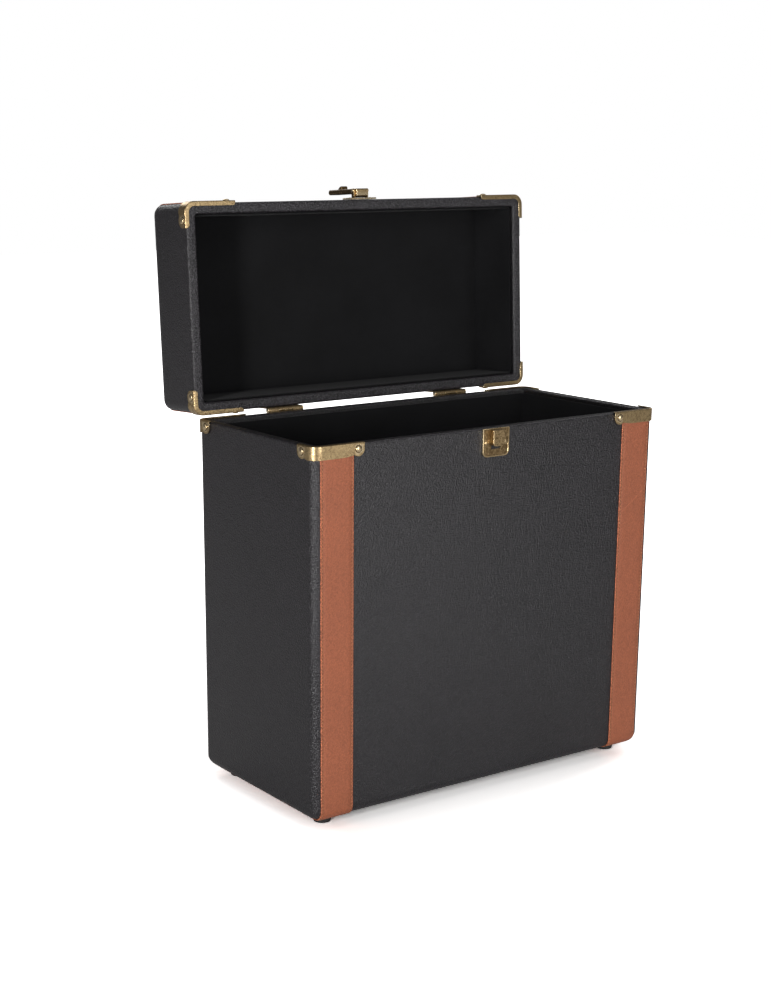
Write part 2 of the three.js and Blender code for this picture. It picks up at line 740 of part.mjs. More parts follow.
// The box
const bodyRivets = rimRivets(1, rimZ);
const bodyHingeScrews = hingeScrews(-1);
const catchScrews = sideNames.map(([name, side]) => ({
  name,
  screw: fastener(screwSizes, catchScrewPlace(side), frontward),
  hole: shankHole(screwSizes, catchScrewPlace(side), frontward),
}));
const bodyShell = cut(shell(footHeight, rimZ, bodyEdgeRadius),
  ...[...bodyRivets, ...bodyHingeScrews, ...catchScrews].map(({ hole }) => hole));
addPiece(assembly, 'body_shell', bodyShell, blackLeatherette);
addPiece(assembly, 'body_lining', lining(footHeight, rimZ), blackLining);
for (const [name, side] of sideNames) {
  const piece = band(side, footHeight, rimZ, bodyEdgeRadius);
  addPiece(assembly, `body_band_${name}`, piece, brownLeatherette);
}
const bracket = cornerBracket();
for (const [endName, signY] of endNames) {
  for (const [sideName, side] of sideNames) {
    const piece = mirrored(bracket, -side, signY, 1, rimZ);
    addPiece(assembly, `body_bracket_${endName}_${sideName}`, piece, agedBrass);
  }
}
for (const { name, rivet } of bodyRivets) {
  addPiece(assembly, `body_rivet_${name}`, rivet, agedBrass);
}
addPiece(assembly, 'catch_plate', catchPlate(), agedBrass);
for (const { name, screw } of catchScrews) {
  addPiece(assembly, `catch_screw_${name}`, screw, agedBrass);
}
for (const [endName, signY] of endNames) {
  for (const [sideName, side] of sideNames) {
    const piece = addPiece(assembly, `foot_${endName}_${sideName}`, foot(), blackRubber);
    piece.position.set(side * bandCentre, -signY * (halfDepth - footSetback), 0);
  }
}
for (const [name, side] of sideNames) {
  const leaf = addPiece(assembly, `hinge_body_leaf_${name}`, bodyLeaf(), agedBrass);
  leaf.position.copy(hingeCentre(side));
  const pin = addPiece(assembly, `hinge_pin_${name}`, hingePin(), agedBrass);
  pin.position.copy(hingeCentre(side));
}
for (const { name, screw } of bodyHingeScrews) {
  addPiece(assembly, `hinge_body_screw_${name}`, screw, agedBrass);
}

// The lid is laid out closed, in a group that turns about the hinge axis
const lidTurn = new THREE.Group();
lidTurn.position.set(0, hingeY, hingeZ);
lidTurn.rotation.x = -radians(openAngle);
const lid = new THREE.Group();
lid.position.set(0, -hingeY, -hingeZ);
lidTurn.add(lid);
assembly.add(lidTurn);

const lidRivets = rimRivets(-1, lidRimZ);
const lidHingeScrews = hingeScrews(1);
const lidShell = cut(shell(lidTopZ, lidRimZ, lidEdgeRadius),
  ...[...lidRivets, ...lidHingeScrews].map(({ hole }) => hole));
addPiece(lid, 'lid_shell', lidShell, blackLeatherette);
addPiece(lid, 'lid_lining', lining(lidTopZ, lidRimZ), blackLining);
for (const [name, side] of sideNames) {
  const piece = band(side, lidTopZ, lidRimZ, lidEdgeRadius);
  addPiece(lid, `lid_band_${name}`, piece, brownLeatherette);
}
for (const [endName, signY] of endNames) {
  for (const [sideName, side] of sideNames) {
    const piece = mirrored(bracket, -side, signY, -1, lidRimZ);
    addPiece(lid, `lid_bracket_${endName}_${sideName}`, piece, agedBrass);
  }
}
for (const { name, rivet } of lidRivets) {
  addPiece(lid, `lid_rivet_${name}`, rivet, agedBrass);
}
for (const [name, side] of sideNames) {
  const leaf = addPiece(lid, `hinge_lid_leaf_${name}`, lidLeaf(), agedBrass);
  leaf.position.copy(hingeCentre(side));
}
for (const { name, screw } of lidHingeScrews) {
  addPiece(lid, `hinge_lid_screw_${name}`, screw, agedBrass);
}
addPiece(lid, 'hasp_base', haspBase(), agedBrass);
addPiece(lid, 'hasp_pin', haspPin(), agedBrass);
addPiece(lid, 'hasp_lever', haspLever(), agedBrass);

// The handle hangs straight down from its pivots while the lid is open
const handle = new THREE.Group();
handle.position.set(0, 0, lidTopZ + handlePivotHeight);
lid.add(handle);
for (const [name, side] of sideNames) {
  addPiece(handle, `handle_mount_${name}`, handleMount(side), agedBrass);
}
const grip = addPiece(handle, 'handle_grip', handleGrip(), brownLeatherette);
grip.rotation.x = radians(hangAngle);

// The origin is under the middle of the whole outline, on the surface that the feet stand on
part.updateMatrixWorld(true);
const outline = new THREE.Box3().setFromObject(part, true);
assembly.position.y = -(outline.min.y + outline.max.y) / 2;
part.updateMatrixWorld(true);

export default part;
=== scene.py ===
import json
import math
from collections import namedtuple
from functools import reduce

import bmesh
import bpy
from mathutils import Matrix, Vector


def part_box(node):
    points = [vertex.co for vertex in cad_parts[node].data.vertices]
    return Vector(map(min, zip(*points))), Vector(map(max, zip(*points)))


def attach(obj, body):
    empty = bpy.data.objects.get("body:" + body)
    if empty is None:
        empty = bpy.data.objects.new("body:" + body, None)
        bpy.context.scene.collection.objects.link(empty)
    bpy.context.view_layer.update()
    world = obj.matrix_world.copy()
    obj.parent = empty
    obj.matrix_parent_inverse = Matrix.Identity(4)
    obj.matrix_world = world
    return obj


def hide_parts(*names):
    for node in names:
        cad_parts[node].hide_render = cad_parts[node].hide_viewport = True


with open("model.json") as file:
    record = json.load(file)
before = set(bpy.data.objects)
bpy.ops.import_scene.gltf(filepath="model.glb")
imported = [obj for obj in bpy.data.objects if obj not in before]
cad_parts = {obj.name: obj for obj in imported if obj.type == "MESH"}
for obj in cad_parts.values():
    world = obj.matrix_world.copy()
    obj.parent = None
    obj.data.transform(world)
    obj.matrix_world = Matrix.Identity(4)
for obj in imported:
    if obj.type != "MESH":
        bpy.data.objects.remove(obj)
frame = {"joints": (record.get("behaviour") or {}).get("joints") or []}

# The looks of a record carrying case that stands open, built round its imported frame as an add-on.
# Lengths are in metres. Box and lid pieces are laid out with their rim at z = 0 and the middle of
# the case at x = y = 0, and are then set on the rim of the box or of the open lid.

bl_info = {
    "name": "Record carrying case",
    "version": (1, 0, 0),
    "blender": (4, 5, 0),
    "location": "View3D > Sidebar > Record case",
    "description": "Builds the looks of a hinged record carrying case round its packed frame",
    "category": "Object",
}

MM = 0.001
QUARTER = math.pi / 2
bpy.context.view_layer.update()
BOX_LOW, BOX_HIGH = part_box("body_shell")
HALF_X = BOX_HIGH.x
HALF_Y = (BOX_HIGH.y - BOX_LOW.y) / 2
MIDDLE_Y = (BOX_HIGH.y + BOX_LOW.y) / 2
RIM_Z = BOX_HIGH.z
JOINTS = {joint["name"]: joint for joint in frame["joints"]}
HINGE = Vector(JOINTS["lid_hinge"]["pos_m"])
OPEN_ANGLE = math.radians(JOINTS["lid_hinge"]["range_deg"][1])
LID_RIM_Z = 2 * HINGE.z - RIM_Z
SIDES = (("left", -1), ("right", 1))
ENDS = (("front", 1), ("back", -1))

# The box or the lid: its names, its body, the height of its closed end, the way in along Z
# (1 or -1), the rounding of its closed end and where it goes
Part = namedtuple("Part", "title node body closed inward edge place")

RING_STEPS, EDGE_STEPS, RIM_STEPS, ROUND_STEPS = 6, 8, 4, 28
SMOOTH_ANGLE = math.radians(50)
WELD_GAP, SHEET_WELD_GAP = 1e-6, 2e-5
STATION_GAP = 0.02
FINE_EDGE = 0.3 * MM
GROOVE_FLOOR = 0.78

LAMPS = (
    # name, place, height that it is aimed at, size, power
    ("key_lamp", (0.5, -2.9, 2.0), 0.25, (1.4, 1.4), 9),
    ("front_lamp", (0.3, -3.0, 0.4), 0.2, (1.6, 0.9), 34),
    ("left_lamp", (-2.2, -1.35, 0.55), 0.22, (0.24, 1.1), 46),
    ("top_lamp", (0.1, -0.3, 3.0), 0.25, (2.0, 1.4), 5),
    ("back_lamp", (0.6, 2.6, 1.9), 0.25, (1.6, 1.0), 17),
    ("right_lamp", (2.5, 0.5, 1.3), 0.25, (0.5, 1.8), 12),
)
WORLD_LIGHT = 0.15
# Camera rays see the floor through this gain above one, a little warm: the floor clips to white and
# only deep shadow shows, with a painted warm tint
FLOOR_SHADE = (2.25, 2.22, 2.2, 1)
WHITE = (1, 1, 1, 1)
CAMERA_PLACE = (-0.887568, -1.186035, 0.530616)
CAMERA_TURNS = (("Z", -0.599871), ("X", -0.263287), ("Y", 0.000629), ("X", QUARTER))
CAMERA_LENS, CAMERA_SHIFT = 61.7328, (0.055739, 0.108651)


# Sizes and colours that a user may change. A row is a name, millimetres and a description.

SIZES = {
    "case": """
        lid_height 64 Height of the lid above its rim
        wall 9 Thickness of the covered boards
        corner 7.5 Rounding of the upright edges
        body_edge 9 Rounding round the bottom of the box
        lid_edge 14 Rounding round the top of the lid
        rim 1.9 Rounding along both edges of the rims
        inner_corner 2.5 Rounding of the inner upright edges
        seat 0.25 Clearance under each piece that is fixed on
        lining 1.2 Thickness of the lining
        lining_setback 4 Distance from the rim to the lining""",
    "strap": """
        width 31 Width of a brown strap
        inset 6.3 Distance from the side of the case to a strap
        thickness 0.55 Thickness of a strap at its edges
        end_gap 1.5 Distance from the rim to the end of a strap
        seam 1.7 Distance from a strap's edge to its stitching
        pitch 3.0 Distance from one stitch to the next
        stitch 1.9 Length of one stitch
        thread 0.5 Diameter of the thread""",
    "bracket": """
        outer 1.6 Distance from the board to a bracket's outer face
        sheet 0.6 Thickness of the brass sheet
        lip_rise 0.85 Height of a lip's upper face above the rim
        fold 0.8 Outer radius of the fold along the rim
        height 10 Height of the plain part of a bracket
        lip 2.4 Reach of a lip over the rim
        chamfer 1.7 Cut corners of a lip
        lobe 5.8 Radius of the round lobes
        drop 4.2 Distance from the rim to a rivet
        long_rivet 41 Distance from the corner to the far rivet
        long_shoulder 24.5 Plain length of the long side
        long_cusp 8.6 Height of the cusp by the long side's lobe
        short_rivet 14 Distance from the corner to the near rivet
        short_shoulder 5.5 Plain length of the short side
        short_cusp 8.8 Height of the cusp by the short side's lobe
        rivet 2.7 Radius of a rivet's head
        dome 1.3 Height of a rivet's head
        groove 0.22 Depth of the groove round a rivet""",
    "catch": """
        width 27.4 Width of the catch plate
        top 0.4 Distance from the rim to the plate
        bottom 23.7 Distance from the rim to the plate's lower edge
        corner 4.5 Radius of the plate's lower corners
        plate 0.9 Thickness of the plate's field
        border 1.3 Width of the raised border
        border_height 0.5 Height of the raised border
        tongue_width 12 Width of the tongue
        tongue_top 1.4 Distance from the rim to the tongue
        tongue_bottom 14.8 Distance from the rim to the tongue's end
        tongue_corner 3 Radius of the tongue's lower corners
        tongue_wall 1.2 Thickness of the tongue
        tongue_reach 5.6 Distance from the board to the tongue's face
        slot_bottom 17.6 Distance from the rim to the slot's lower edge
        screw_spacing 20 Distance between the two screws
        screw_drop 12 Distance from the rim to the screws
        screw 2.1 Radius of a screw's head
        screw_dome 0.9 Height of a screw's head""",
    "hasp": """
        base_width 28 Width of the hasp's base
        base_rise 0.8 Distance from the rim to the base
        base_height 10.8 Height of the base
        pin_rise 5.6 Distance from the rim to the pin
        pin 1.1 Radius of the pin
        pin_head 1.7 Radius of the pin's heads
        head 0.6 Thickness of the pin's heads
        ear 1.2 Thickness of the ears
        ear_radius 1.9 Radius of the ears
        rivet_spacing 21.6 Distance between the base's rivets
        rivet 1.8 Radius of the base's rivets
        rivet_dome 0.8 Height of the base's rivets
        knuckle 12.4 Width of the knuckle
        knuckle_front 4.3 Reach of the knuckle towards the rim
        heel 4 Reach of the knuckle along the arm
        arm_width 11 Width of the arm
        arm_length 38 Length of the arm
        arm_sheet 1.4 Thickness of the arm's sheet
        arm_depth 3.2 Depth of the arm's folded sides
        arm_side 4.4 Visible depth of the arm's rounded sides
        standoff 4.5 Space between the arm and the base
        flange 1 Thickness of the arm's sides
        nose_width 7 Width of the nose
        nose_depth 2.8 Depth of the nose
        nose_length 2.8 Length of the nose
        nose_slope 4.6 Length of the nose's slope
        tip 2.2 Radius of the rolled tip""",
    "hinge": """
        width 34 Width of a leaf
        height 24 Height of a leaf
        leaf 1.2 Thickness of a leaf
        corner 3 Radius of a leaf's corners
        knuckle 2.3 Radius of the knuckles
        middle 13 Width of the middle knuckle
        pin 1.1 Radius of the pin
        pin_head 0.7 Thickness of the pin's heads
        screw_spacing 20 Distance between a leaf's screws
        screw_drop 15 Distance from the pin to the screws
        stop_reach 7 Length of the stop
        stop 1.2 Thickness of the stop""",
    "handle": """
        spacing 124 Distance between the handle's mounts
        reach 35 Distance from the pivots to the grip
        grip_width 17 Width of the grip
        grip_thickness 12 Thickness of the grip
        arm 7 Thickness of the grip's ends
        arm_rise 13 Straight length of the grip's ends
        bend_rise 27 Distance from the pivots to the bend
        bend_inset 4 Inward step at the bend
        shoulder 17 Inward step at the shoulder
        eye 5 Radius of the eyes
        eye_width 8 Width of the eyes
        pin 2 Radius of the pivot pins
        mount_length 27 Length of a mount
        mount_width 16 Width of a mount
        mount_corner 3 Radius of a mount's corners
        mount 1.5 Thickness of a mount's plate
        lug 2 Thickness of a lug
        lug_radius 3.4 Radius of a lug
        rivet_spacing 20.6 Distance between a mount's rivets
        rivet 2 Radius of a mount's rivets
        rivet_dome 0.9 Height of a mount's rivets""",
}


def size_group(group, rows):
    """A property group of lengths, made from its rows."""
    lengths = {}
    for row in rows.strip().splitlines():
        key, millimetres, description = row.split(None, 2)
        lengths[key] = bpy.props.FloatProperty(
            name=key.replace("_", " ").capitalize(), description=description,
            default=float(millimetres) * MM, min=0, precision=5, unit="LENGTH",
            subtype="DISTANCE")
    return type(group.title() + "Sizes", (bpy.types.PropertyGroup,),
                {"__annotations__": lengths})


def colour(name, description, *default):
    return bpy.props.FloatVectorProperty(name=name, description=description, default=default,
                                         min=0, max=1, size=3, subtype="COLOR")


class CaseColours(bpy.types.PropertyGroup):
    black_leather: colour("Black leatherette", "Covering of the case", 0.0166, 0.0150, 0.0172)
    brown_leather: colour("Brown leatherette", "Straps and grip", 0.345, 0.101, 0.045)
    thread: colour("Thread", "Stitching of the straps", 0.50, 0.20, 0.075)
    lining: colour("Lining", "Cloth inside the case", 0.0048, 0.0048, 0.0054)
    brass: colour("Brass", "Worn faces of the fittings", 0.60, 0.44, 0.235)
    patina: colour("Patina", "Dull film on the fittings", 0.10, 0.061, 0.027)
    # Rubbed brass also covers the rivet domes, where it is partly a painted highlight
    rubbed: colour("Rubbed brass", "Bright edges of the fittings", 0.80, 0.66, 0.44)
    rubber: colour("Rubber", "Feet", 0.012, 0.012, 0.012)
    floor: colour("Floor", "Floor that the case stands on", 0.8, 0.8, 0.8)


GROUPS = {group: size_group(group, rows) for group, rows in SIZES.items()}
GROUPS["colours"] = CaseColours


def settings(*groups):
    """One group of properties, or several in a list."""
    found = [getattr(bpy.context.scene, "record_case_" + group) for group in groups]
    return found if len(found) > 1 else found[0]


# Modelling steps

def clear_selection():
    if bpy.context.object and bpy.context.object.mode != "OBJECT":
        bpy.ops.object.mode_set(mode="OBJECT")
    bpy.ops.object.select_all(action="DESELECT")


def work_on(piece):
    clear_selection()
    piece.select_set(True)
    bpy.context.view_layer.objects.active = piece


def open_mesh(piece):
    work_on(piece)
    bpy.ops.object.mode_set(mode="EDIT")
    bpy.ops.mesh.select_all(action="SELECT")
    return bmesh.from_edit_mesh(piece.data)


def close_mesh():
    bpy.ops.object.mode_set(mode="OBJECT")


def face_out(piece):
    open_mesh(piece)
    bpy.ops.mesh.normals_make_consistent(inside=False)
    close_mesh()
    return piece


def outline_piece(name, points, fill="NGON"):
    """A ring of edges, filled or open, with its corners moved to the points."""
    clear_selection()
    bpy.ops.mesh.primitive_circle_add(vertices=len(points), fill_type=fill)
    piece = bpy.context.object
    piece.name = piece.data.name = name
    for vertex, point in zip(piece.data.vertices, points):
        vertex.co = point
    return piece


def skin(name, rings):
    """A closed skin: a filled ring is extruded through the others."""
    rings = [[Vector(point) for point in ring] for ring in rings]
    piece = outline_piece(name, rings[0])
    mesh = open_mesh(piece)
    for before, after in zip(rings, rings[1:]):
        bpy.ops.mesh.extrude_region_move()
        for vertex in mesh.verts:
            if vertex.select:
                at = vertex.co
                near = min(range(len(before)), key=lambda i: (before[i] - at).length_squared)
                vertex.co = after[near]
        bmesh.update_edit_mesh(piece.data)
    close_mesh()
    return face_out(piece)


def prism(name, outline, axis, low, high):
    """An outline extruded along X, Y or Z; its points give the two other coordinates in order."""
    index = "XYZ".index(axis)
    return skin(name, [[(*point[:index], level, *point[index:]) for point in outline]
                       for level in (low, high)])


def block(name, low, high):
    (x0, y0, z0), (x1, y1, z1) = low, high
    return prism(name, [(x0, y0), (x1, y0), (x1, y1), (x0, y1)], "Z", z0, z1)


def circle(radius, centre=(0, 0), steps=ROUND_STEPS, start=0, end=2 * math.pi):
    """Points round a circle or an arc; an arc has both of its ends."""
    whole = math.isclose(abs(end - start), 2 * math.pi)
    return [(centre[0] + radius * math.cos(start + (end - start) * i / steps),
             centre[1] + radius * math.sin(start + (end - start) * i / steps))
            for i in range(steps if whole else steps + 1)]


def rod(name, radius, x0, x1, y, z, edge=0):
    """A rod along X with rounded ends."""
    levels = [(x0, radius - edge), (x0 + edge, radius), (x1 - edge, radius), (x1, radius - edge)]
    if edge == 0:
        levels = levels[1:3]
    return skin(name, [[(x, y + u, z + v) for u, v in circle(r)] for x, r in levels])


def headed_pin(name, radius, head_radius, reach, head, y, z, edge):
    """A pin along X with a head at each end."""
    return joined(name, [rod("pin", radius, -reach, reach, y, z),
                         rod("pin_head", head_radius, reach, head, y, z, edge),
                         rod("pin_head", head_radius, -head, -reach, y, z, edge)])


def turned(name, profile, place=(0, 0, 0), direction=(0, 0, 1)):
    """A profile of radius and height, spun about an axis that its ends lie on."""
    piece = outline_piece(name, [(radius, 0, height) for radius, height in profile], "NOTHING")
    mesh = open_mesh(piece)
    bpy.ops.mesh.select_all(action="DESELECT")
    for edge in mesh.edges:
        if all(abs(vertex.co.x) < WELD_GAP for vertex in edge.verts):
            edge.select_set(True)
    bpy.ops.mesh.delete(type="EDGE")
    bpy.ops.mesh.select_all(action="SELECT")
    bpy.ops.mesh.spin(steps=ROUND_STEPS, angle=2 * math.pi, center=(0, 0, 0), axis=(0, 0, 1))
    bpy.ops.mesh.select_all(action="SELECT")
    bpy.ops.mesh.remove_doubles(threshold=WELD_GAP)
    close_mesh()
    face_out(piece)
    turn = Vector((0, 0, 1)).rotation_difference(Vector(direction)).to_matrix().to_4x4()
    piece.data.transform(Matrix.Translation(place) @ turn)
    return piece


def applied(piece, kind, **values):
    """Adds a modifier with its values and applies it."""
    work_on(piece)
    modifier = piece.modifiers.new(kind.title(), kind)
    for key, value in values.items():
        setattr(modifier, key, value)
    bpy.ops.object.modifier_apply(modifier=modifier.name)
    return piece


def combined(piece, operation, *others):
    for other in others:
        applied(piece, "BOOLEAN", operation=operation, solver="EXACT", object=other)
        bpy.data.objects.remove(other)
    return piece


def bevelled(piece, width, segments=2, angle=50):
    return applied(piece, "BEVEL", width=width, segments=segments, limit_method="ANGLE",
                   angle_limit=math.radians(angle), use_clamp_overlap=True)


def joined(name, pieces):
    clear_selection()
    for piece in pieces:
        piece.select_set(True)
    bpy.context.view_layer.objects.active = pieces[0]
    bpy.ops.object.join()
    piece = bpy.context.object
    piece.name = piece.data.name = name
    return piece


def copied(piece, name, matrix):
    """A copy with its own mesh, moved by a matrix."""
    made = piece.copy()
    made.data = piece.data.copy()
    made.name = made.data.name = name
    bpy.context.collection.objects.link(made)
    made.data.transform(matrix)
    if matrix.determinant() < 0:
        made.data.flip_normals()
    return made


def repeated(name, piece, matrices):
    """One mesh of many copies of a small piece, which is removed."""
    corners = [vertex.co.copy() for vertex in piece.data.vertices]
    faces = [tuple(polygon.vertices) for polygon in piece.data.polygons]
    points, sides = [], []
    for matrix in matrices:
        first = len(points)
        points += [matrix @ corner for corner in corners]
        sides += [tuple(first + i for i in face) for face in faces]
    mesh = bpy.data.meshes.new(name)
    mesh.from_pydata(points, [], sides)
    made = bpy.data.objects.new(name, mesh)
    bpy.context.collection.objects.link(made)
    bpy.data.objects.remove(piece)
    return made


# Where pieces are lighter (up to 1) or darker (down to -1): wear and patina, and painted highlight
# and painted shade

def store_tone_marks(piece, values):
    piece.data.attributes.new("edge", "FLOAT", "POINT").data.foreach_set("value", values)


def mark_shell(shell, inward):
    """A shell is lighter near its rim and along its upright edges, partly rubbed wear and partly a
    painted highlight, and darker inside with painted shade.
    """
    case = settings("case")
    depth, inner = 3.2 * MM, case.wall - 0.05 * MM
    gain, most, inside_painted_shade = 1.7, 0.5, -0.8
    values = []
    for vertex in shell.data.vertices:
        x, y, z = vertex.co
        inside = abs(x) < HALF_X - inner and abs(y) < HALF_Y - inner
        # Lighter near the rim and down the upright corners (rubbed wear with a painted highlight);
        # inside the cavity darker with painted shade
        rounding = [max(abs(value) - half + case.corner, 0) / case.corner
                    for value, half in ((x, HALF_X), (y, HALF_Y))]
        upright = min(gain * rounding[0] * rounding[1], most)
        values.append(inside_painted_shade if inside else max(min(1 + z * inward / depth, 1), upright))
    store_tone_marks(shell, values)


def mark_edges(piece, wear):
    """Metal is rubbed on sharp outer edges and dirty in inner ones; wear may change each value
    by its place."""
    mesh = bmesh.new()
    mesh.from_mesh(piece.data)
    blunt, sharpening = 0.42, 0.3
    values = []
    for vertex in mesh.verts:
        turns = [edge.calc_face_angle_signed() for edge in vertex.link_edges if edge.is_manifold]
        turn = max(turns, key=abs, default=0)
        tone_mark = math.copysign(min(max((abs(turn) - blunt) / sharpening, 0), 1), turn)
        values.append(wear(vertex.co, tone_mark) if wear else tone_mark)
    mesh.free()
    store_tone_marks(piece, values)


def rubbed(place, tone_mark):
    """The marks of a domed head, which is bright all over: rubbed wear with a painted highlight."""
    return min(tone_mark + 0.7, 1)


def dulled(place, tone_mark):
    """The wear of a plate that nothing rubs against: an even film from edge to edge."""
    return max(min(tone_mark, 0.15), -0.1)


# Where pieces go

def on_box():
    return Matrix.Translation((0, MIDDLE_Y, RIM_Z))


def on_lid():
    turn = Matrix.Rotation(-OPEN_ANGLE, 4, "X")
    return (Matrix.Translation(HINGE) @ turn @ Matrix.Translation(-HINGE)
            @ Matrix.Translation((0, MIDDLE_Y, LID_RIM_Z)))


def on_lid_top():
    """Handle parts lie round the pivot line: Y points away from it and Z off the lid."""
    pivot = Vector(JOINTS["handle_pivot"]["pos_m"])
    return Matrix.Translation(pivot) @ Matrix.Rotation(-OPEN_ANGLE, 4, "X")


def box_and_lid():
    case = settings("case")
    return (Part("box", "body", "case", BOX_LOW.z - RIM_Z, 1, case.body_edge, on_box()),
            Part("lid", "lid", "lid", case.lid_height, -1, case.lid_edge, on_lid()))


def finish_piece(piece, body, slot, *nodes, place=None, finish=None, weighted=False, wear=None):
    """Sets a piece in its place, gives it its shading, finish and body, and hides the imported
    nodes that it replaces."""
    if place is not None:
        piece.data.transform(place)
    if slot == "aged_brass":
        mark_edges(piece, wear)
    work_on(piece)
    bpy.ops.object.shade_smooth_by_angle(angle=SMOOTH_ANGLE)
    if weighted:
        applied(piece, "WEIGHTED_NORMAL", keep_sharp=True)
    piece.data.materials.clear()
    piece.data.materials.append(finish_of(finish or slot))
    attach(piece, body)
    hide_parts(*nodes)
    return piece


# Materials

class Nodes:
    """A shader tree, with short names for the nodes that it is built from."""

    def __init__(self, tree):
        self.tree = tree

    def fill(self, node, inputs):
        """Inputs are numbers or outputs, by socket name, or by number after an underscore."""
        for name, value in inputs.items():
            socket = node.inputs[int(name[1:]) if name[0] == "_" else name.replace("_", " ")]
            if isinstance(value, bpy.types.NodeSocket):
                self.tree.links.new(value, socket)
            else:
                socket.default_value = value

    def add(self, kind, output=0, values=None, **inputs):
        """Adds a node and gives back one of its outputs."""
        made = self.tree.nodes.new("ShaderNode" + kind)
        for key, value in (values or {}).items():
            setattr(made, key, value)
        self.fill(made, inputs)
        return made.outputs[output] if made.outputs else made

    def surface(self, **inputs):
        self.fill(self.tree.nodes["Principled BSDF"], inputs)

    def math(self, operation, first, second=0.0, clamp=False):
        return self.add("Math", 0, {"operation": operation, "use_clamp": clamp},
                        _0=first, _1=second)

    def plus(self, *terms):
        return reduce(lambda total, term: self.math("ADD", total, term), terms)

    def times(self, *factors):
        return reduce(lambda product, factor: self.math("MULTIPLY", product, factor), factors)

    def span(self, value, low, high, to_low=0.0, to_high=1.0):
        return self.add("MapRange", 0, Value=value, From_Min=low, From_Max=high,
                        To_Min=to_low, To_Max=to_high)

    def place(self):
        return self.add("TexCoord", "Object")

    # The edge attribute: wear and patina on the brass, painted highlight and painted shade on the
    # leather
    def tone_mark(self):
        return self.add("Attribute", "Fac", {"attribute_name": "edge"})

    def noise(self, place, scale, detail=2.0, roughness=0.5):
        return self.add("TexNoise", "Fac", Vector=place, Scale=scale, Detail=detail,
                        Roughness=roughness)

    def mixed(self, factor, first, second, blend="MIX"):
        return self.add("Mix", 2, {"data_type": "RGBA", "blend_type": blend},
                        _0=factor, _6=first, _7=second)

    def shaded(self, base, shade):
        tint = self.add("CombineColor", 0, _0=shade, _1=shade, _2=shade)
        return self.mixed(1.0, (*base, 1), tint, "MULTIPLY")

    def bump(self, height, strength, distance):
        return self.add("Bump", "Normal", Height=height, Strength=strength, Distance=distance)


def leather(nodes, base, roughness, grain, depth, mottle, folds):
    """Pebbled leatherette: slanting fine wrinkles, faint long creases and a soft satin shine."""
    place, tone_mark, span = nodes.place(), nodes.tone_mark(), nodes.span
    cells = nodes.add("TexVoronoi", "Distance", {"feature": "SMOOTH_F1"}, Vector=place,
                      Scale=grain, Smoothness=0.3, Randomness=0.9)
    pebbles = span(cells, 0.0, 0.75, 1.0, 0.0)
    fine = nodes.noise(place, grain * 2.7, 3, 0.6)
    broad = nodes.noise(place, 26, 4, 0.6)
    slant = nodes.add("Mapping", 0, {"vector_type": "TEXTURE"}, Vector=place,
                      Location=(grain * 0.001, 0, 0), Rotation=(0, -0.8, 0.3), Scale=(1.9, 1, 1))
    wrinkles = span(nodes.noise(slant, grain), 0.36, 0.64)
    line = nodes.math("ABSOLUTE", nodes.math("SUBTRACT", nodes.noise(slant, 8, 1, 0.4), 0.5))
    crease = nodes.times(span(line, 0.0, 0.006, 1.0, 0.0),
                         span(nodes.noise(place, 14), 0.5, 0.62),
                         span(tone_mark, 0.0, 0.3, 1.0, 0.0))
    height = nodes.plus(pebbles, nodes.times(wrinkles, 0.6 * folds), nodes.times(fine, 0.35))
    height = nodes.math("SUBTRACT", height, nodes.times(crease, 0.6))
    # Painted glints on the grain where the mark is high: shell rims and corners and strap edges
    grain_glint = nodes.times(span(tone_mark, 0.0, 1.0), span(pebbles, 0.2, 0.8, -0.6, 1.1))
    shade = nodes.times(span(broad, 0.3, 0.7, 1 - mottle, 1 + mottle),
                        span(pebbles, 0.0, 1.0, 1 - 0.3 * folds, 1 + 0.17 * folds),
                        span(wrinkles, 0.0, 1.0, 1 - 0.22 * folds, 1 + 0.18 * folds),
                        span(crease, 0.0, 1.0, 1.0, 1 + 0.6 * folds),
                        nodes.plus(grain_glint, 1.0),
                        # Lighter where the mark is high (rubbed wear with a painted highlight),
                        # darker where it is low (painted shade inside the shells and in the strap
                        # grooves)
                        span(tone_mark, 0.0, 1.0, 1.0, 1.65),
                        span(tone_mark, -1.0, 0.0, 0.25, 1.0))
    nodes.surface(
        Base_Color=nodes.shaded(base, shade), Normal=nodes.bump(height, 0.9, depth),
        Roughness=nodes.plus(span(broad, 0.3, 0.7, roughness - 0.04, roughness + 0.04),
                             nodes.times(fine, 0.08)),
        Specular_IOR_Level=0.45)


def thread(nodes, base):
    """Twisted thread: a fine slanting ply with a little sheen."""
    place = nodes.place()
    ply = nodes.add("TexWave", "Fac", {"wave_type": "BANDS", "bands_direction": "DIAGONAL"},
                    Vector=place, Scale=900.0, Distortion=1.5, Detail=1.0)
    dust = nodes.span(nodes.noise(place, 60, 3), 0.3, 0.7, 0.75, 1.15)
    shade = nodes.times(dust, nodes.span(ply, 0.0, 1.0, 0.7, 1.05))
    nodes.surface(Base_Color=nodes.shaded(base, shade), Normal=nodes.bump(ply, 0.5, 0.00008),
                  Roughness=0.62, Sheen_Weight=0.2)


def cloth(nodes, base):
    """Short black nap with faint clouds in it."""
    place = nodes.place()
    nap = nodes.noise(place, 2400, 4, 0.7)
    cloud = nodes.span(nodes.noise(place, 18, 4), 0.3, 0.7, 0.8, 1.3)
    shade = nodes.times(cloud, nodes.span(nap, 0.3, 0.7, 0.6, 1.5))
    nodes.surface(Base_Color=nodes.shaded(base, shade), Normal=nodes.bump(nap, 0.7, 0.00012),
                  Roughness=0.95, Specular_IOR_Level=0.15, Sheen_Weight=0.05)


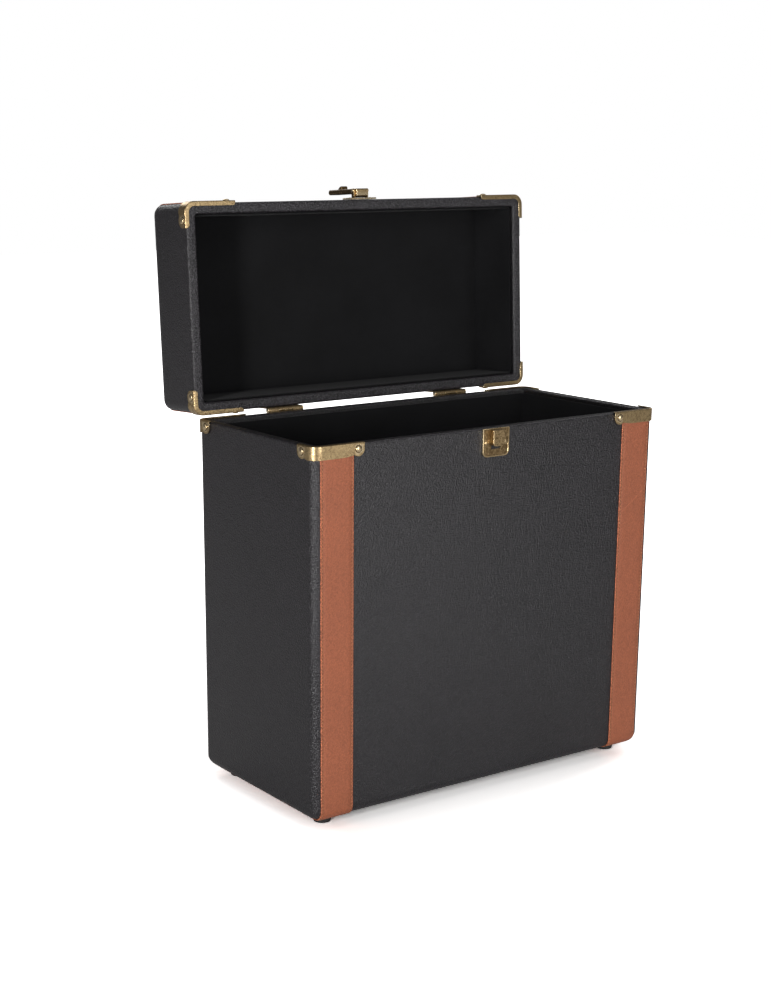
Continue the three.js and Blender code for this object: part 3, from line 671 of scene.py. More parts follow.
def aged_brass(nodes, metal, patina, bright):
    """A fine mottled film on brass, darker in the hollows and rubbed bright along the edges."""
    place, tone_mark, span = nodes.place(), nodes.tone_mark(), nodes.span
    blotch, speck = nodes.noise(place, 420, 3, 0.55), nodes.noise(place, 1100, 4, 0.65)
    film = nodes.plus(span(blotch, 0.3, 0.7, 0.0, 0.7), span(speck, 0.35, 0.65, -0.35, 0.35),
                      span(tone_mark, -1.0, 0.0, 0.9, 0.0))
    film = nodes.math("SUBTRACT", film, span(tone_mark, 0.0, 1.0, 0.0, 0.9), clamp=True)
    film = nodes.times(film, 0.95)
    tone = nodes.mixed(span(tone_mark, 0.2, 1.0, 0.0, 0.8), (*metal, 1), (*bright, 1))
    height = nodes.plus(nodes.times(blotch, 0.6), speck)
    nodes.surface(
        Base_Color=nodes.mixed(film, tone, (*patina, 1)), Metallic=1.0,
        Roughness=nodes.plus(span(film, 0.0, 1.0, 0.22, 0.42), nodes.times(speck, 0.1)),
        Normal=nodes.bump(height, 0.35, 0.00006))


def rubber(nodes, base):
    """Moulded black rubber with a faint bloom."""
    place = nodes.place()
    bloom = nodes.noise(place, 300, 4, 0.6)
    nodes.surface(Base_Color=nodes.shaded(base, nodes.span(bloom, 0.3, 0.7, 0.8, 1.5)),
                  Roughness=nodes.span(bloom, 0.3, 0.7, 0.38, 0.55),
                  Normal=nodes.bump(nodes.noise(place, 2500), 0.3, 0.00005))


def finish_of(slot):
    """The material of a slot, made when it is first asked for."""
    material = bpy.data.materials.get(slot + "_finish")
    if material:
        return material
    material = bpy.data.materials.new(slot + "_finish")
    material.use_nodes = True
    nodes, tones = Nodes(material.node_tree), settings("colours")
    if slot == "leatherette_black":
        leather(nodes, tones.black_leather, 0.33, 780, 0.00031, 0.1, 1.0)
    elif slot == "leatherette_brown":
        leather(nodes, tones.brown_leather, 0.5, 900, 0.00014, 0.05, 0.6)
    elif slot == "thread":
        thread(nodes, tones.thread)
    elif slot == "lining_black":
        cloth(nodes, tones.lining)
    elif slot == "aged_brass":
        aged_brass(nodes, tones.brass, tones.patina, tones.rubbed)
    else:
        rubber(nodes, tones.rubber)
    return material


# Box and lid

def quarter_steps(steps):
    return [step / steps * QUARTER for step in range(steps + 1)]


def ring(inset, radius, z):
    """A rounded rectangle round the middle of the case, inset from its outside."""
    half_x, half_y = HALF_X - inset, HALF_Y - inset
    points = []
    for quarter, (side, end) in enumerate(((1, 1), (-1, 1), (-1, -1), (1, -1))):
        for step in range(RING_STEPS + 1):
            angle = (quarter + step / RING_STEPS) * QUARTER
            points.append((side * (half_x - radius) + radius * math.cos(angle),
                           end * (half_y - radius) + radius * math.sin(angle), z))
    return points


def covered_shell(part):
    """The covered boards: rounded closed end, walls, rolled rim and cavity."""
    case, inward, edge = settings("case"), part.inward, part.edge
    rim, corner, inner = case.rim, case.corner, case.inner_corner
    rings = [ring(edge * (1 - math.sin(angle)), corner,
                  part.closed + inward * edge * (1 - math.cos(angle)))
             for angle in quarter_steps(EDGE_STEPS)]
    for angle in quarter_steps(RIM_STEPS):
        past = rim * (1 - math.cos(angle))
        rings.append(ring(past, corner - past, -inward * rim * (1 - math.sin(angle))))
    for angle in quarter_steps(RIM_STEPS):
        left = rim * (1 - math.sin(angle))
        rings.append(ring(case.wall - left, inner + left,
                          -inward * rim * (1 - math.cos(angle))))
    rings.append(ring(case.wall, inner, part.closed + inward * case.wall))
    shell = skin("case_" + part.title, rings)
    mark_shell(shell, inward)
    return shell


def lining_tray(part):
    """The lining: a floor and four walls that stop short of the rim."""
    case, inward = settings("case"), part.inward
    outer = case.wall + case.seat
    inner = outer + case.lining
    floor = part.closed + inward * outer
    top = -inward * case.lining_setback
    soft, cove = case.lining / 2, 0.8 * MM
    levels = [(outer, floor), (outer, top - inward * soft)]
    levels += [(outer + soft * (1 - math.cos(angle)), top - inward * soft * (1 - math.sin(angle)))
               for angle in (step * math.pi / 4 for step in range(1, 4))]
    levels += [(inner, top - inward * soft), (inner, floor + inward * (case.lining + cove)),
               (inner + cove, floor + inward * case.lining)]
    return skin(f"case_{part.title}_lining",
                [ring(inset, case.inner_corner, z) for inset, z in levels])


# Straps

def strap_centre(side):
    strap = settings("strap")
    return side * (HALF_X - strap.inset - strap.width / 2)


def strap_path(part):
    """Stations down the front, round the closed end and up the back: place and outward normal."""
    strap, case = settings("strap", "case")
    edge, inward, offset = part.edge, part.inward, case.seat
    start, low = -inward * strap.end_gap, part.closed + inward * edge
    count = max(2, round(abs(low - start) / STATION_GAP))
    stations = [(Vector((0, -HALF_Y - offset, start + (low - start) * step / count)),
                 Vector((0, -1, 0))) for step in range(count)]
    for angle in quarter_steps(EDGE_STEPS):
        normal = Vector((0, -math.cos(angle), -inward * math.sin(angle)))
        stations.append((Vector((0, edge - HALF_Y, low)) + (edge + offset) * normal, normal))
    back = [(Vector((0, -place.y, place.z)), Vector((0, -normal.y, normal.z)))
            for place, normal in reversed(stations)]
    return stations + back


def strap_section():
    """Across the strap: rounded edges, a groove under each row of stitches, a soft crown."""
    strap = settings("strap")
    half, thick = strap.width / 2, strap.thickness
    groove = half - strap.seam
    side = [(half, 0), (half, 0.5 * thick), (half - 0.15 * MM, 0.85 * thick),
            (half - 0.45 * MM, thick), (groove + 0.7 * MM, 1.05 * thick),
            (groove + 0.3 * MM, GROOVE_FLOOR * thick), (groove - 0.3 * MM, GROOVE_FLOOR * thick),
            (groove - 0.8 * MM, 1.12 * thick), (groove - 4 * MM, 1.25 * thick)]
    return side + [(-x, height) for x, height in reversed(side)]


def settled(place, normal, x, edge):
    """Lays a point of the strap on the covering where that rounds off towards the side."""
    corner, left = settings("case").corner, HALF_X - abs(x)
    most = 0.6 * corner
    past = min(max(corner + edge * (1 - abs(normal.y)) - left, 0), most)
    short = max(edge - left, 0)
    inward = (corner - math.sqrt(corner ** 2 - past ** 2)) * abs(normal.y)
    rise = (edge - math.sqrt(edge ** 2 - short ** 2)) * normal.z ** 4
    sunk = Vector((0, math.copysign(inward, normal.y), math.copysign(rise, normal.z)))
    return place - sunk + Vector((x, 0, 0))


def strap_piece(name, side, stations, edge):
    """A strap, with paler edges, partly worn and partly a painted highlight, and grooves darkened
    with painted shade.
    """
    strap, centre = settings("strap"), strap_centre(side)
    piece = skin(name, [[settled(place + height * normal, normal, centre + x, edge)
                         for x, height in strap_section()] for place, normal in stations])
    # Painted shade in the stitch grooves; the paler edges are wear with a painted highlight
    groove_painted_shade, edge_wear_and_highlight, plain = -0.5, 0.6, 0.0
    half, values = strap.width / 2, []
    for vertex in piece.data.vertices:
        across = abs(vertex.co.x - centre)
        in_groove = abs(across - half + strap.seam) < 0.4 * MM
        at_edge = across > half - 0.5 * MM
        values.append(groove_painted_shade if in_groove else edge_wear_and_highlight if at_edge else plain)
    store_tone_marks(piece, values)
    return piece


def stitch_piece(name):
    """One stitch, with six sides and rounded ends, lying along X."""
    strap = settings("strap")
    radius, half = strap.thread / 2, strap.stitch / 2
    levels = [(-half, 0.35, -0.45), (-half + 0.3 * MM, 0.8, -0.15), (-half + 0.8 * MM, 1.0, 0.12)]
    levels += [(-x, share, drop) for x, share, drop in reversed(levels)]
    return skin(name, [[(x, radius * share * u, radius * (share * v + drop))
                        for u, v in circle(1, steps=6)] for x, share, drop in levels])


def stitched_rows(name, side, stations, edge):
    """Two rows of stitches in the grooves of a strap."""
    strap, centre = settings("strap"), strap_centre(side)
    lift = GROOVE_FLOOR * strap.thickness + 0.1 * strap.thread
    places = [place + lift * normal for place, normal in stations]
    lengths = [0.0]
    for before, after in zip(places, places[1:]):
        lengths.append(lengths[-1] + (after - before).length)
    margin, slant, matrices = 2 * MM, 0.07, []
    for step in range(int((lengths[-1] - 2 * margin) / strap.pitch) + 1):
        along = margin + step * strap.pitch
        i = max(k for k in range(len(places) - 1) if lengths[k] <= along)
        share = (along - lengths[i]) / (lengths[i + 1] - lengths[i])
        place = places[i].lerp(places[i + 1], share)
        normal = stations[i][1].lerp(stations[i + 1][1], share).normalized()
        tangent = normal.cross(Vector((1, 0, 0)))
        for row in (-1, 1):
            x_axis = (tangent + Vector((slant * row, 0, 0))).normalized()
            matrix = Matrix((x_axis, normal.cross(x_axis), normal)).transposed().to_4x4()
            x = centre + row * (strap.width / 2 - strap.seam)
            matrix.translation = settled(place, normal, x, edge)
            matrices.append(matrix)
    return repeated(name, stitch_piece(name + "_one"), matrices)


# Corner brackets

def sheet_flange(rivet, shoulder, cusp):
    """Half of the flat sheet: along the lower edge, round the lobe and along the lip.
    Each point is a distance from the middle of the corner and a height above the fold's start."""
    bracket, corner = settings("bracket"), settings("case").corner
    shift = (corner + bracket.outer) * math.pi / 4 - corner
    base = bracket.fold - bracket.lip_rise
    entry = math.asin((cusp - bracket.drop) / bracket.lobe)
    reach = rivet - bracket.lobe * math.cos(entry)
    bend = Vector(((shoulder + reach) / 2, -bracket.height))
    start, end = Vector((shoulder, -bracket.height)), Vector((reach, -cusp))
    points = [start.lerp(bend, share).lerp(bend.lerp(end, share), share)
              for share in (step / 5 for step in range(6))]
    points += circle(bracket.lobe, (rivet, -bracket.drop), 14, entry - math.pi, 0)[1:]
    far = rivet + bracket.lobe
    top = bracket.fold * QUARTER + bracket.outer - bracket.fold + bracket.lip - base
    points += [(far, top - bracket.chamfer), (far - bracket.chamfer, top)]
    return [(along + shift, height + base) for along, height in points]


def bent_point(along, up):
    """Where a point of the flat sheet lies once it is folded over the rim and round the corner."""
    bracket, corner = settings("bracket"), settings("case").corner
    fold, turn = bracket.fold, bracket.fold * QUARTER
    if up <= 0:
        off, z = bracket.outer, bracket.lip_rise - fold + up
    elif up < turn:
        off = bracket.outer - fold * (1 - math.cos(up / fold))
        z = bracket.lip_rise - fold * (1 - math.sin(up / fold))
    else:
        off, z = bracket.outer - fold - (up - turn), bracket.lip_rise
    radius = corner + bracket.outer
    arc = radius * math.pi / 4
    straight = max(abs(along) - arc, 0)
    angle = math.radians(225) + math.copysign(min(abs(along), arc), along) / radius
    x = -HALF_X + corner + (corner + off) * math.cos(angle)
    y = -HALF_Y + corner + (corner + off) * math.sin(angle)
    return Vector((x + (straight if along > 0 else 0), y + (straight if along < 0 else 0), z))


def cut_along(piece, axis, levels):
    """Divides a flat sheet with straight cuts, where it will bend."""
    normal = Vector([axis == other for other in "XYZ"])
    open_mesh(piece)
    for level in levels:
        bpy.ops.mesh.select_all(action="SELECT")
        bpy.ops.mesh.bisect(plane_co=normal * level, plane_no=normal)
    bpy.ops.mesh.select_all(action="SELECT")
    bpy.ops.mesh.remove_doubles(threshold=SHEET_WELD_GAP)
    close_mesh()


def corner_bracket(name):
    """The bracket of the front left corner: one cut and folded sheet with rolled edges."""
    bracket, strap, case = settings("bracket", "strap", "case")
    long_side = sheet_flange(bracket.long_rivet, bracket.long_shoulder, bracket.long_cusp)
    short_side = sheet_flange(bracket.short_rivet, bracket.short_shoulder, bracket.short_cusp)
    outline = long_side + [(-along, up) for along, up in reversed(short_side)]
    piece = outline_piece(name, [(along, up, 0) for along, up in outline])
    arc = (case.corner + bracket.outer) * math.pi / 4
    near = strap.inset + arc - case.corner
    far = near + strap.width
    turn = bracket.fold * QUARTER
    # Cuts round the corner, on both sides of the strap and along the fold
    cut_along(piece, "X", [arc * (step / 5 - 1) for step in range(11)])
    cut_along(piece, "X", [near - 0.7 * MM, far + 0.9 * MM, far + 0.1 * MM])
    cut_along(piece, "Y", [-1.1 * MM, 0] + [turn * step / 4 for step in range(1, 5)])
    full = bracket.outer - case.seat
    thin = bracket.sheet / full
    group = piece.vertex_groups.new(name="thickness")
    for vertex in piece.data.vertices:
        along, up, _ = vertex.co
        over_strap = near - 0.3 * MM < along < far + 0.5 * MM
        group.add([vertex.index], thin if over_strap or up > -0.5 * MM else 1, "REPLACE")
        vertex.co = bent_point(along, up)
    piece.data.update()
    lowest = min(piece.data.polygons, key=lambda polygon: polygon.center.x + polygon.center.z)
    if lowest.normal.x > 0:
        piece.data.flip_normals()
    applied(piece, "SOLIDIFY", thickness=full, offset=-1, vertex_group="thickness",
            thickness_vertex_group=0, use_even_offset=False)
    piece.vertex_groups.clear()
    bevelled(piece, 0.32 * MM)
    face_out(piece)
    radius, deep = bracket.rivet, bracket.groove
    profile = [(radius - 0.3 * MM, -deep), (radius + 0.5 * MM, -deep),
               (radius + 0.65 * MM, deep), (radius - 0.3 * MM, deep)]
    return combined(piece, "DIFFERENCE", *[turned("groove", profile, *where)
                                           for where in rivet_places()])


def rivet_places():
    """Where the two rivets of the front left bracket sit, and which way they face."""
    bracket = settings("bracket")
    return (((-HALF_X + bracket.long_rivet, -HALF_Y - bracket.outer, -bracket.drop), (0, -1, 0)),
            ((-HALF_X - bracket.outer, -HALF_Y + bracket.short_rivet, -bracket.drop), (-1, 0, 0)))


def dome(radius, height):
    """Profile of a domed head with a thin collar, from below its underside to its crown."""
    collar, depth, steps = 0.25 * MM, 0.6 * MM, 7
    profile = [(0, -depth), (radius * 0.92, -depth), (radius, 0), (radius, collar)]
    profile += [(radius * math.cos(angle), collar + (height - collar) * math.sin(angle))
                for angle in quarter_steps(steps)[1:-1]]
    return profile + [(0, height)]


def screw_piece(name, spin):
    """A domed screw with a cross recess, round the Z axis."""
    catch = settings("catch")
    radius, height = catch.screw, catch.screw_dome
    piece = turned(name, dome(radius, height))
    half_length, half_width = radius * 0.62, radius * 0.13
    for turn in (0, QUARTER):
        slot = block(name + "_slot", (-half_length, -half_width, height * 0.35),
                     (half_length, half_width, height * 2))
        slot.data.transform(Matrix.Rotation(turn + spin, 4, "Z"))
        combined(piece, "DIFFERENCE", slot)
    return piece


# Catch and hasp

def hanging_outline(width, top, bottom, corner, inset=0.0):
    """A plate outline in X and Z that hangs from the rim, with round lower corners."""
    side, radius = width / 2 - inset, max(corner - inset, 0.3 * MM)
    low = -bottom + inset
    return ([(-side, -top - inset)]
            + circle(radius, (-side + radius, low + radius), 6, math.pi, 1.5 * math.pi)
            + circle(radius, (side - radius, low + radius), 6, 1.5 * math.pi, 2 * math.pi)
            + [(side, -top - inset)])


def plate_levels():
    """How far a plate's field and its raised border stand off the board's middle plane."""
    catch = settings("catch")
    face = settings("case").seat + catch.plate
    return face, face + catch.border_height


def framed_plate(name, outline):
    """A plate with a raised border on the front; outline gives its X and Z at an inset."""
    border, (face, front) = settings("catch").border, plate_levels()
    slope, low = 0.12 * MM, front - 0.08 * MM
    levels = ((0, settings("case").seat), (0, front - 0.3 * MM), (slope, low), (0.35 * MM, front),
              (border - 0.35 * MM, front), (border - slope, low), (border + 0.15 * MM, face))
    return skin(name, [[(x, -HALF_Y - off, z) for x, z in outline(inset)]
                       for inset, off in levels])


# Operators

class CasePieces(bpy.types.Operator):
    """Adds a group of the case's pieces"""
    bl_options = {"REGISTER", "UNDO"}

    def execute(self, context):
        self.build()
        return {"FINISHED"}


class RECORD_CASE_OT_shells(CasePieces):
    """Adds the covered box and the covered lid"""
    bl_idname = "record_case.shells"
    bl_label = "Covered box and lid"

    def build(self):
        for part in box_and_lid():
            finish_piece(covered_shell(part), part.body, "leatherette_black",
                         part.node + "_shell", place=part.place)


class RECORD_CASE_OT_linings(CasePieces):
    """Adds the lining of the box and of the lid"""
    bl_idname = "record_case.linings"
    bl_label = "Linings"

    def build(self):
        for part in box_and_lid():
            finish_piece(lining_tray(part), part.body, "lining_black",
                         part.node + "_lining", place=part.place)


class RECORD_CASE_OT_straps(CasePieces):
    """Adds the brown straps with their stitching"""
    bl_idname = "record_case.straps"
    bl_label = "Stitched straps"

    def build(self):
        for part in box_and_lid():
            stations = strap_path(part)
            for side_name, side in SIDES:
                name = f"{part.node}_strap_{side_name}"
                strap = strap_piece(name, side, stations, part.edge)
                finish_piece(strap, part.body, "leatherette_brown",
                             f"{part.node}_band_{side_name}", place=part.place)
                rows = stitched_rows(name + "_stitching", side, stations, part.edge)
                finish_piece(rows, part.body, "leatherette_brown", place=part.place,
                             finish="thread")


class RECORD_CASE_OT_brackets(CasePieces):
    """Adds the eight corner brackets with their rivets"""
    bl_idname = "record_case.brackets"
    bl_label = "Corner brackets"

    def build(self):
        bracket = settings("bracket")
        sheet = corner_bracket("corner_pattern")
        rivets = {
            face: turned(face + "_rivet_pattern", dome(bracket.rivet, bracket.dome), *where)
            for face, where in zip(("long", "short"), rivet_places())}
        for part in box_and_lid():
            for end_name, end in ENDS:
                for side_name, side in SIDES:
                    where = f"{end_name}_{side_name}"
                    matrix = part.place @ Matrix.Diagonal((-side, end, part.inward, 1))
                    finish_piece(copied(sheet, f"{part.node}_corner_{where}", matrix),
                                 part.body, "aged_brass", f"{part.node}_bracket_{where}",
                                 weighted=True)
                    # Rivet domes are bright all over: rubbed wear with a painted highlight
                    for face, rivet in rivets.items():
                        finish_piece(copied(rivet, f"{part.node}_dome_{where}_{face}", matrix),
                                     part.body, "aged_brass",
                                     f"{part.node}_rivet_{where}_{face}", wear=rubbed)
        for pattern in (sheet, *rivets.values()):
            bpy.data.objects.remove(pattern)


class RECORD_CASE_OT_catch(CasePieces):
    """Adds the catch plate with its slotted tongue and its two screws"""
    bl_idname = "record_case.catch"
    bl_label = "Catch plate"

    def build(self):
        catch, face = settings("catch"), plate_levels()[0]
        tongue_y = -HALF_Y - catch.tongue_reach
        plate = framed_plate("catch_face", lambda inset: hanging_outline(
            catch.width, catch.top, catch.bottom, catch.corner, inset))
        tongue = prism("tongue", hanging_outline(
            catch.tongue_width, catch.tongue_top, catch.tongue_bottom, catch.tongue_corner),
            "Y", tongue_y, -HALF_Y - face + catch.plate / 2)
        bevelled(tongue, 0.55 * MM, 3)
        half = catch.tongue_width / 2 - catch.tongue_wall
        slot = block("slot", (-half, tongue_y + catch.tongue_wall, -catch.slot_bottom),
                     (half, -HALF_Y + MM, -catch.tongue_top - catch.tongue_wall))
        combined(plate, "UNION", tongue)
        combined(plate, "DIFFERENCE", slot)

        close, field_wear, tongue_wear = 0.05 * MM, -0.6, -0.35

        def wear(place, tone_mark):
            """Dark in the field and on the middle of the tongue."""
            off = place.y - MIDDLE_Y
            if abs(off + HALF_Y + face) < close:
                return field_wear
            return tongue_wear if tone_mark < 0.5 and abs(off - tongue_y) < close else tone_mark
        finish_piece(plate, "case", "aged_brass", "catch_plate", place=on_box(), weighted=True,
                     wear=wear)
        for (side_name, side), spin in zip(SIDES, (0.35, 1.1)):
            place = Matrix.Translation((side * catch.screw_spacing / 2, -HALF_Y - face,
                                        -catch.screw_drop))
            finish_piece(screw_piece(f"catch_fixing_{side_name}", spin), "case", "aged_brass",
                         f"catch_screw_{side_name}",
                         place=on_box() @ place @ Matrix.Rotation(QUARTER, 4, "X"))


class RECORD_CASE_OT_hasp(CasePieces):
    """Adds the hasp: its base, its pin and its lever"""
    bl_idname = "record_case.hasp"
    bl_label = "Hasp"

    def build(self):
        hasp, catch, case = settings("hasp", "catch", "case")
        face, front = plate_levels()
        offset = (catch.tongue_reach + case.seat + hasp.arm_depth + front + hasp.standoff) / 2
        pin_y, pin_z = -HALF_Y - offset, hasp.pin_rise

        def outline(inset):
            side, low = hasp.base_width / 2 - inset, hasp.base_rise + inset
            high = hasp.base_rise + hasp.base_height - inset
            return (-side, low), (side, low), (side, high), (-side, high)
        base = framed_plate("hasp_plate", outline)
        inner, foot_y = hasp.knuckle / 2 + case.seat, -HALF_Y - face + catch.plate / 2
        arc = circle(hasp.ear_radius, (pin_y, pin_z), 12, 1.5 * math.pi, 0.5 * math.pi)
        for side in (-1, 1):
            low, high = sorted((side * inner, side * (inner + hasp.ear)))
            ear = prism("ear", arc + [(foot_y, pin_z + hasp.ear_radius),
                                      (foot_y, pin_z - hasp.ear_radius)], "X", low, high)
            combined(base, "UNION", bevelled(ear, 0.25 * MM))
        rivets = [turned("base_rivet", dome(hasp.rivet, hasp.rivet_dome),
                         (side * hasp.rivet_spacing / 2, -HALF_Y - face, pin_z), (0, -1, 0))
                  for side in (-1, 1)]
        finish_piece(joined("hasp_plate", [base, *rivets]), "lid", "aged_brass", "hasp_base",
                     place=on_lid(), weighted=True)
        reach = inner + case.seat + hasp.ear
        pin = headed_pin("hasp_pivot", hasp.pin, hasp.pin_head, reach, reach + hasp.head,
                         pin_y, pin_z, 0.2 * MM)
        finish_piece(pin, "lid", "aged_brass", "hasp_pin", place=on_lid())
        self.add_lever(pin_y, pin_z, offset, front)

    def add_lever(self, pin_y, pin_z, offset, front):
        """The lever, folded back along the lid. Its outlines give lengths along it from the pin,
        and distances off the lid from the pin."""
        hasp, catch, case = settings("hasp", "catch", "case")
        heel = offset - front - case.seat
        top = offset - catch.tongue_reach - case.seat
        cut, soft, length = 0.8 * MM, 1.1 * MM, hasp.arm_length

        def across(name, points, width):
            outline = [(pin_y - off, pin_z + along) for along, off in points]
            return prism(name, outline, "X", -width / 2, width / 2)
        knuckle = [(-hasp.knuckle_front + cut, top), (hasp.heel, top), (hasp.heel, -heel)]
        end = -math.pi + math.acos(hasp.knuckle_front / heel)
        knuckle += circle(heel, steps=8, start=-QUARTER, end=end)[1:]
        knuckle.append((-hasp.knuckle_front, top - cut))
        lever = bevelled(across("hasp_arm", knuckle, hasp.knuckle), 0.35 * MM, angle=45)
        arm = across("arm", [(0, top), (length, top), (length, top - hasp.arm_side),
                             (0, top - hasp.arm_side)], hasp.arm_width)
        bevelled(arm, soft, 4, 45)
        high = top - hasp.arm_sheet
        low = high - 6 * MM
        trough = across("trough", [(hasp.heel, high), (length + MM, high), (length + MM, low),
                                   (hasp.heel, low)], hasp.arm_width - 2 * hasp.flange)
        combined(arm, "DIFFERENCE", trough)
        near = hasp.pin_rise + LID_RIM_Z - RIM_Z + catch.tongue_bottom + case.seat
        far, crown = near + hasp.nose_length, top + hasp.nose_depth
        root = top - hasp.arm_sheet / 2
        nose = across("nose", [(near, root), (near, crown), (far, crown),
                               (far + hasp.nose_slope, root)], hasp.nose_width)
        bevelled(nose, soft, 4, 30)
        tip = rod("tip", hasp.tip, -hasp.arm_width / 2, hasp.arm_width / 2,
                  pin_y - top + hasp.tip, pin_z + length, FINE_EDGE)
        combined(lever, "UNION", arm, nose, tip)
        combined(lever, "DIFFERENCE",
                 rod("bore", hasp.pin + case.seat, -hasp.knuckle, hasp.knuckle, pin_y, pin_z))
        arm_y = JOINTS["hasp_hinge"]["pos_m"][1] + hasp.heel

        def wear(place, tone_mark):
            """Bright at the knuckle and dark along the arm."""
            return tone_mark - 0.1 if place.y < arm_y else max(tone_mark - 1.3, -1)
        finish_piece(lever, "hasp", "aged_brass", "hasp_lever", place=on_lid(), weighted=True,
                     wear=wear)


class RECORD_CASE_OT_hinges(CasePieces):
    """Adds the two hinges: leaves, pins and screws"""
    bl_idname = "record_case.hinges"
    bl_label = "Hinges"

    def leaf(self, name, up):
        """One leaf round its pin, with the knuckles that it carries."""
        hinge, seat = settings("hinge"), settings("case").seat
        side, middle, corner = hinge.width / 2, hinge.middle / 2, hinge.corner
        high = hinge.height - corner
        outline = [(-side, 0), (side, 0)]
        outline += circle(corner, (side - corner, high), 6, 0, QUARTER)
        outline += circle(corner, (-side + corner, high), 6, QUARTER, math.pi)
        back = -hinge.knuckle
        leaf = prism(name, [(x, up * z) for x, z in outline], "Y", back, back + hinge.leaf)
        bevelled(leaf, FINE_EDGE)
        wide = middle + seat
        if up > 0:
            clearing, knuckles = [(-side - MM, -wide), (wide, side + MM)], [(-middle, middle)]
        else:
            clearing, knuckles = [(-wide, wide)], [(-side, -wide), (wide, side)]
        combined(leaf, "DIFFERENCE", *[rod("clearing", hinge.knuckle + seat, low, high_x, 0, 0)
                                       for low, high_x in clearing])
        if up > 0:
            face = back + seat + hinge.leaf
            stop = block("stop", (-middle, face, -hinge.stop_reach),
                         (middle, face + hinge.stop, 0))
            bevelled(stop, 0.25 * MM)
            stop.data.transform(Matrix.Rotation(OPEN_ANGLE, 4, "X"))
            combined(leaf, "UNION", stop)
        combined(leaf, "UNION", *[rod("knuckle", hinge.knuckle, low, high_x, 0, 0, 0.2 * MM)
                                  for low, high_x in knuckles])
        return combined(leaf, "DIFFERENCE",
                        rod("bore", hinge.pin + seat, -side - MM, side + MM, 0, 0))

    def build(self):
        hinge, case = settings("hinge", "case")
        leaves = {-1: self.leaf("body_leaf_pattern", -1), 1: self.leaf("lid_leaf_pattern", 1)}
        screw = screw_piece("hinge_screw_pattern", 0.4)
        reach = hinge.width / 2 + case.seat
        pin = headed_pin("hinge_pin_pattern", hinge.pin, hinge.knuckle, reach,
                         reach + hinge.pin_head, 0, 0, 0.25 * MM)
        lid_turn = on_lid() @ Matrix.Translation((0, -MIDDLE_Y, -LID_RIM_Z))
        for side_name, side in SIDES:
            low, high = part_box(f"hinge_pin_{side_name}")
            centre = Matrix.Translation(((low.x + high.x) / 2, HINGE.y, HINGE.z))
            finish_piece(copied(pin, f"hinge_rod_{side_name}", centre), "case", "aged_brass",
                         f"hinge_pin_{side_name}")
            for node, body, up, turn in (("body", "case", -1, Matrix.Identity(4)),
                                         ("lid", "lid", 1, lid_turn)):
                finish_piece(copied(leaves[up], f"{node}_hinge_{side_name}", turn @ centre),
                             body, "aged_brass", f"hinge_{node}_leaf_{side_name}",
                             weighted=True, wear=dulled)
                for number, end in ((1, -1), (2, 1)):
                    place = Matrix.Translation((end * hinge.screw_spacing / 2,
                                                hinge.leaf - hinge.knuckle,
                                                up * hinge.screw_drop))
                    spin = Matrix.Rotation(0.7 * number + side + 0.4 * up, 4, "Y")
                    piece = copied(screw, f"{node}_hinge_fixing_{side_name}_{number}",
                                   turn @ centre @ place @ spin
                                   @ Matrix.Rotation(-QUARTER, 4, "X"))
                    finish_piece(piece, body, "aged_brass",
                                 f"hinge_{node}_screw_{side_name}_{number}")
        for pattern in (*leaves.values(), screw, pin):
            bpy.data.objects.remove(pattern)


def smooth_path(points, steps):
    """Points along a smooth curve through the given ones, and its direction at each."""
    ends = [2 * points[0] - points[1], *points, 2 * points[-1] - points[-2]]
    path = []
    for i in range(1, len(ends) - 2):
        a, b, c, d = ends[i - 1:i + 3]
        square, cube = 2 * a - 5 * b + 4 * c - d, 3 * b - a - 3 * c + d
        for step in range(steps + 1 if i == len(ends) - 3 else steps):
            t = step / steps
            place = 0.5 * (2 * b + (c - a) * t + square * t ** 2 + cube * t ** 3)
            along = 0.5 * ((c - a) + 2 * square * t + 3 * cube * t ** 2)
            path.append((place, along.normalized()))
    return path


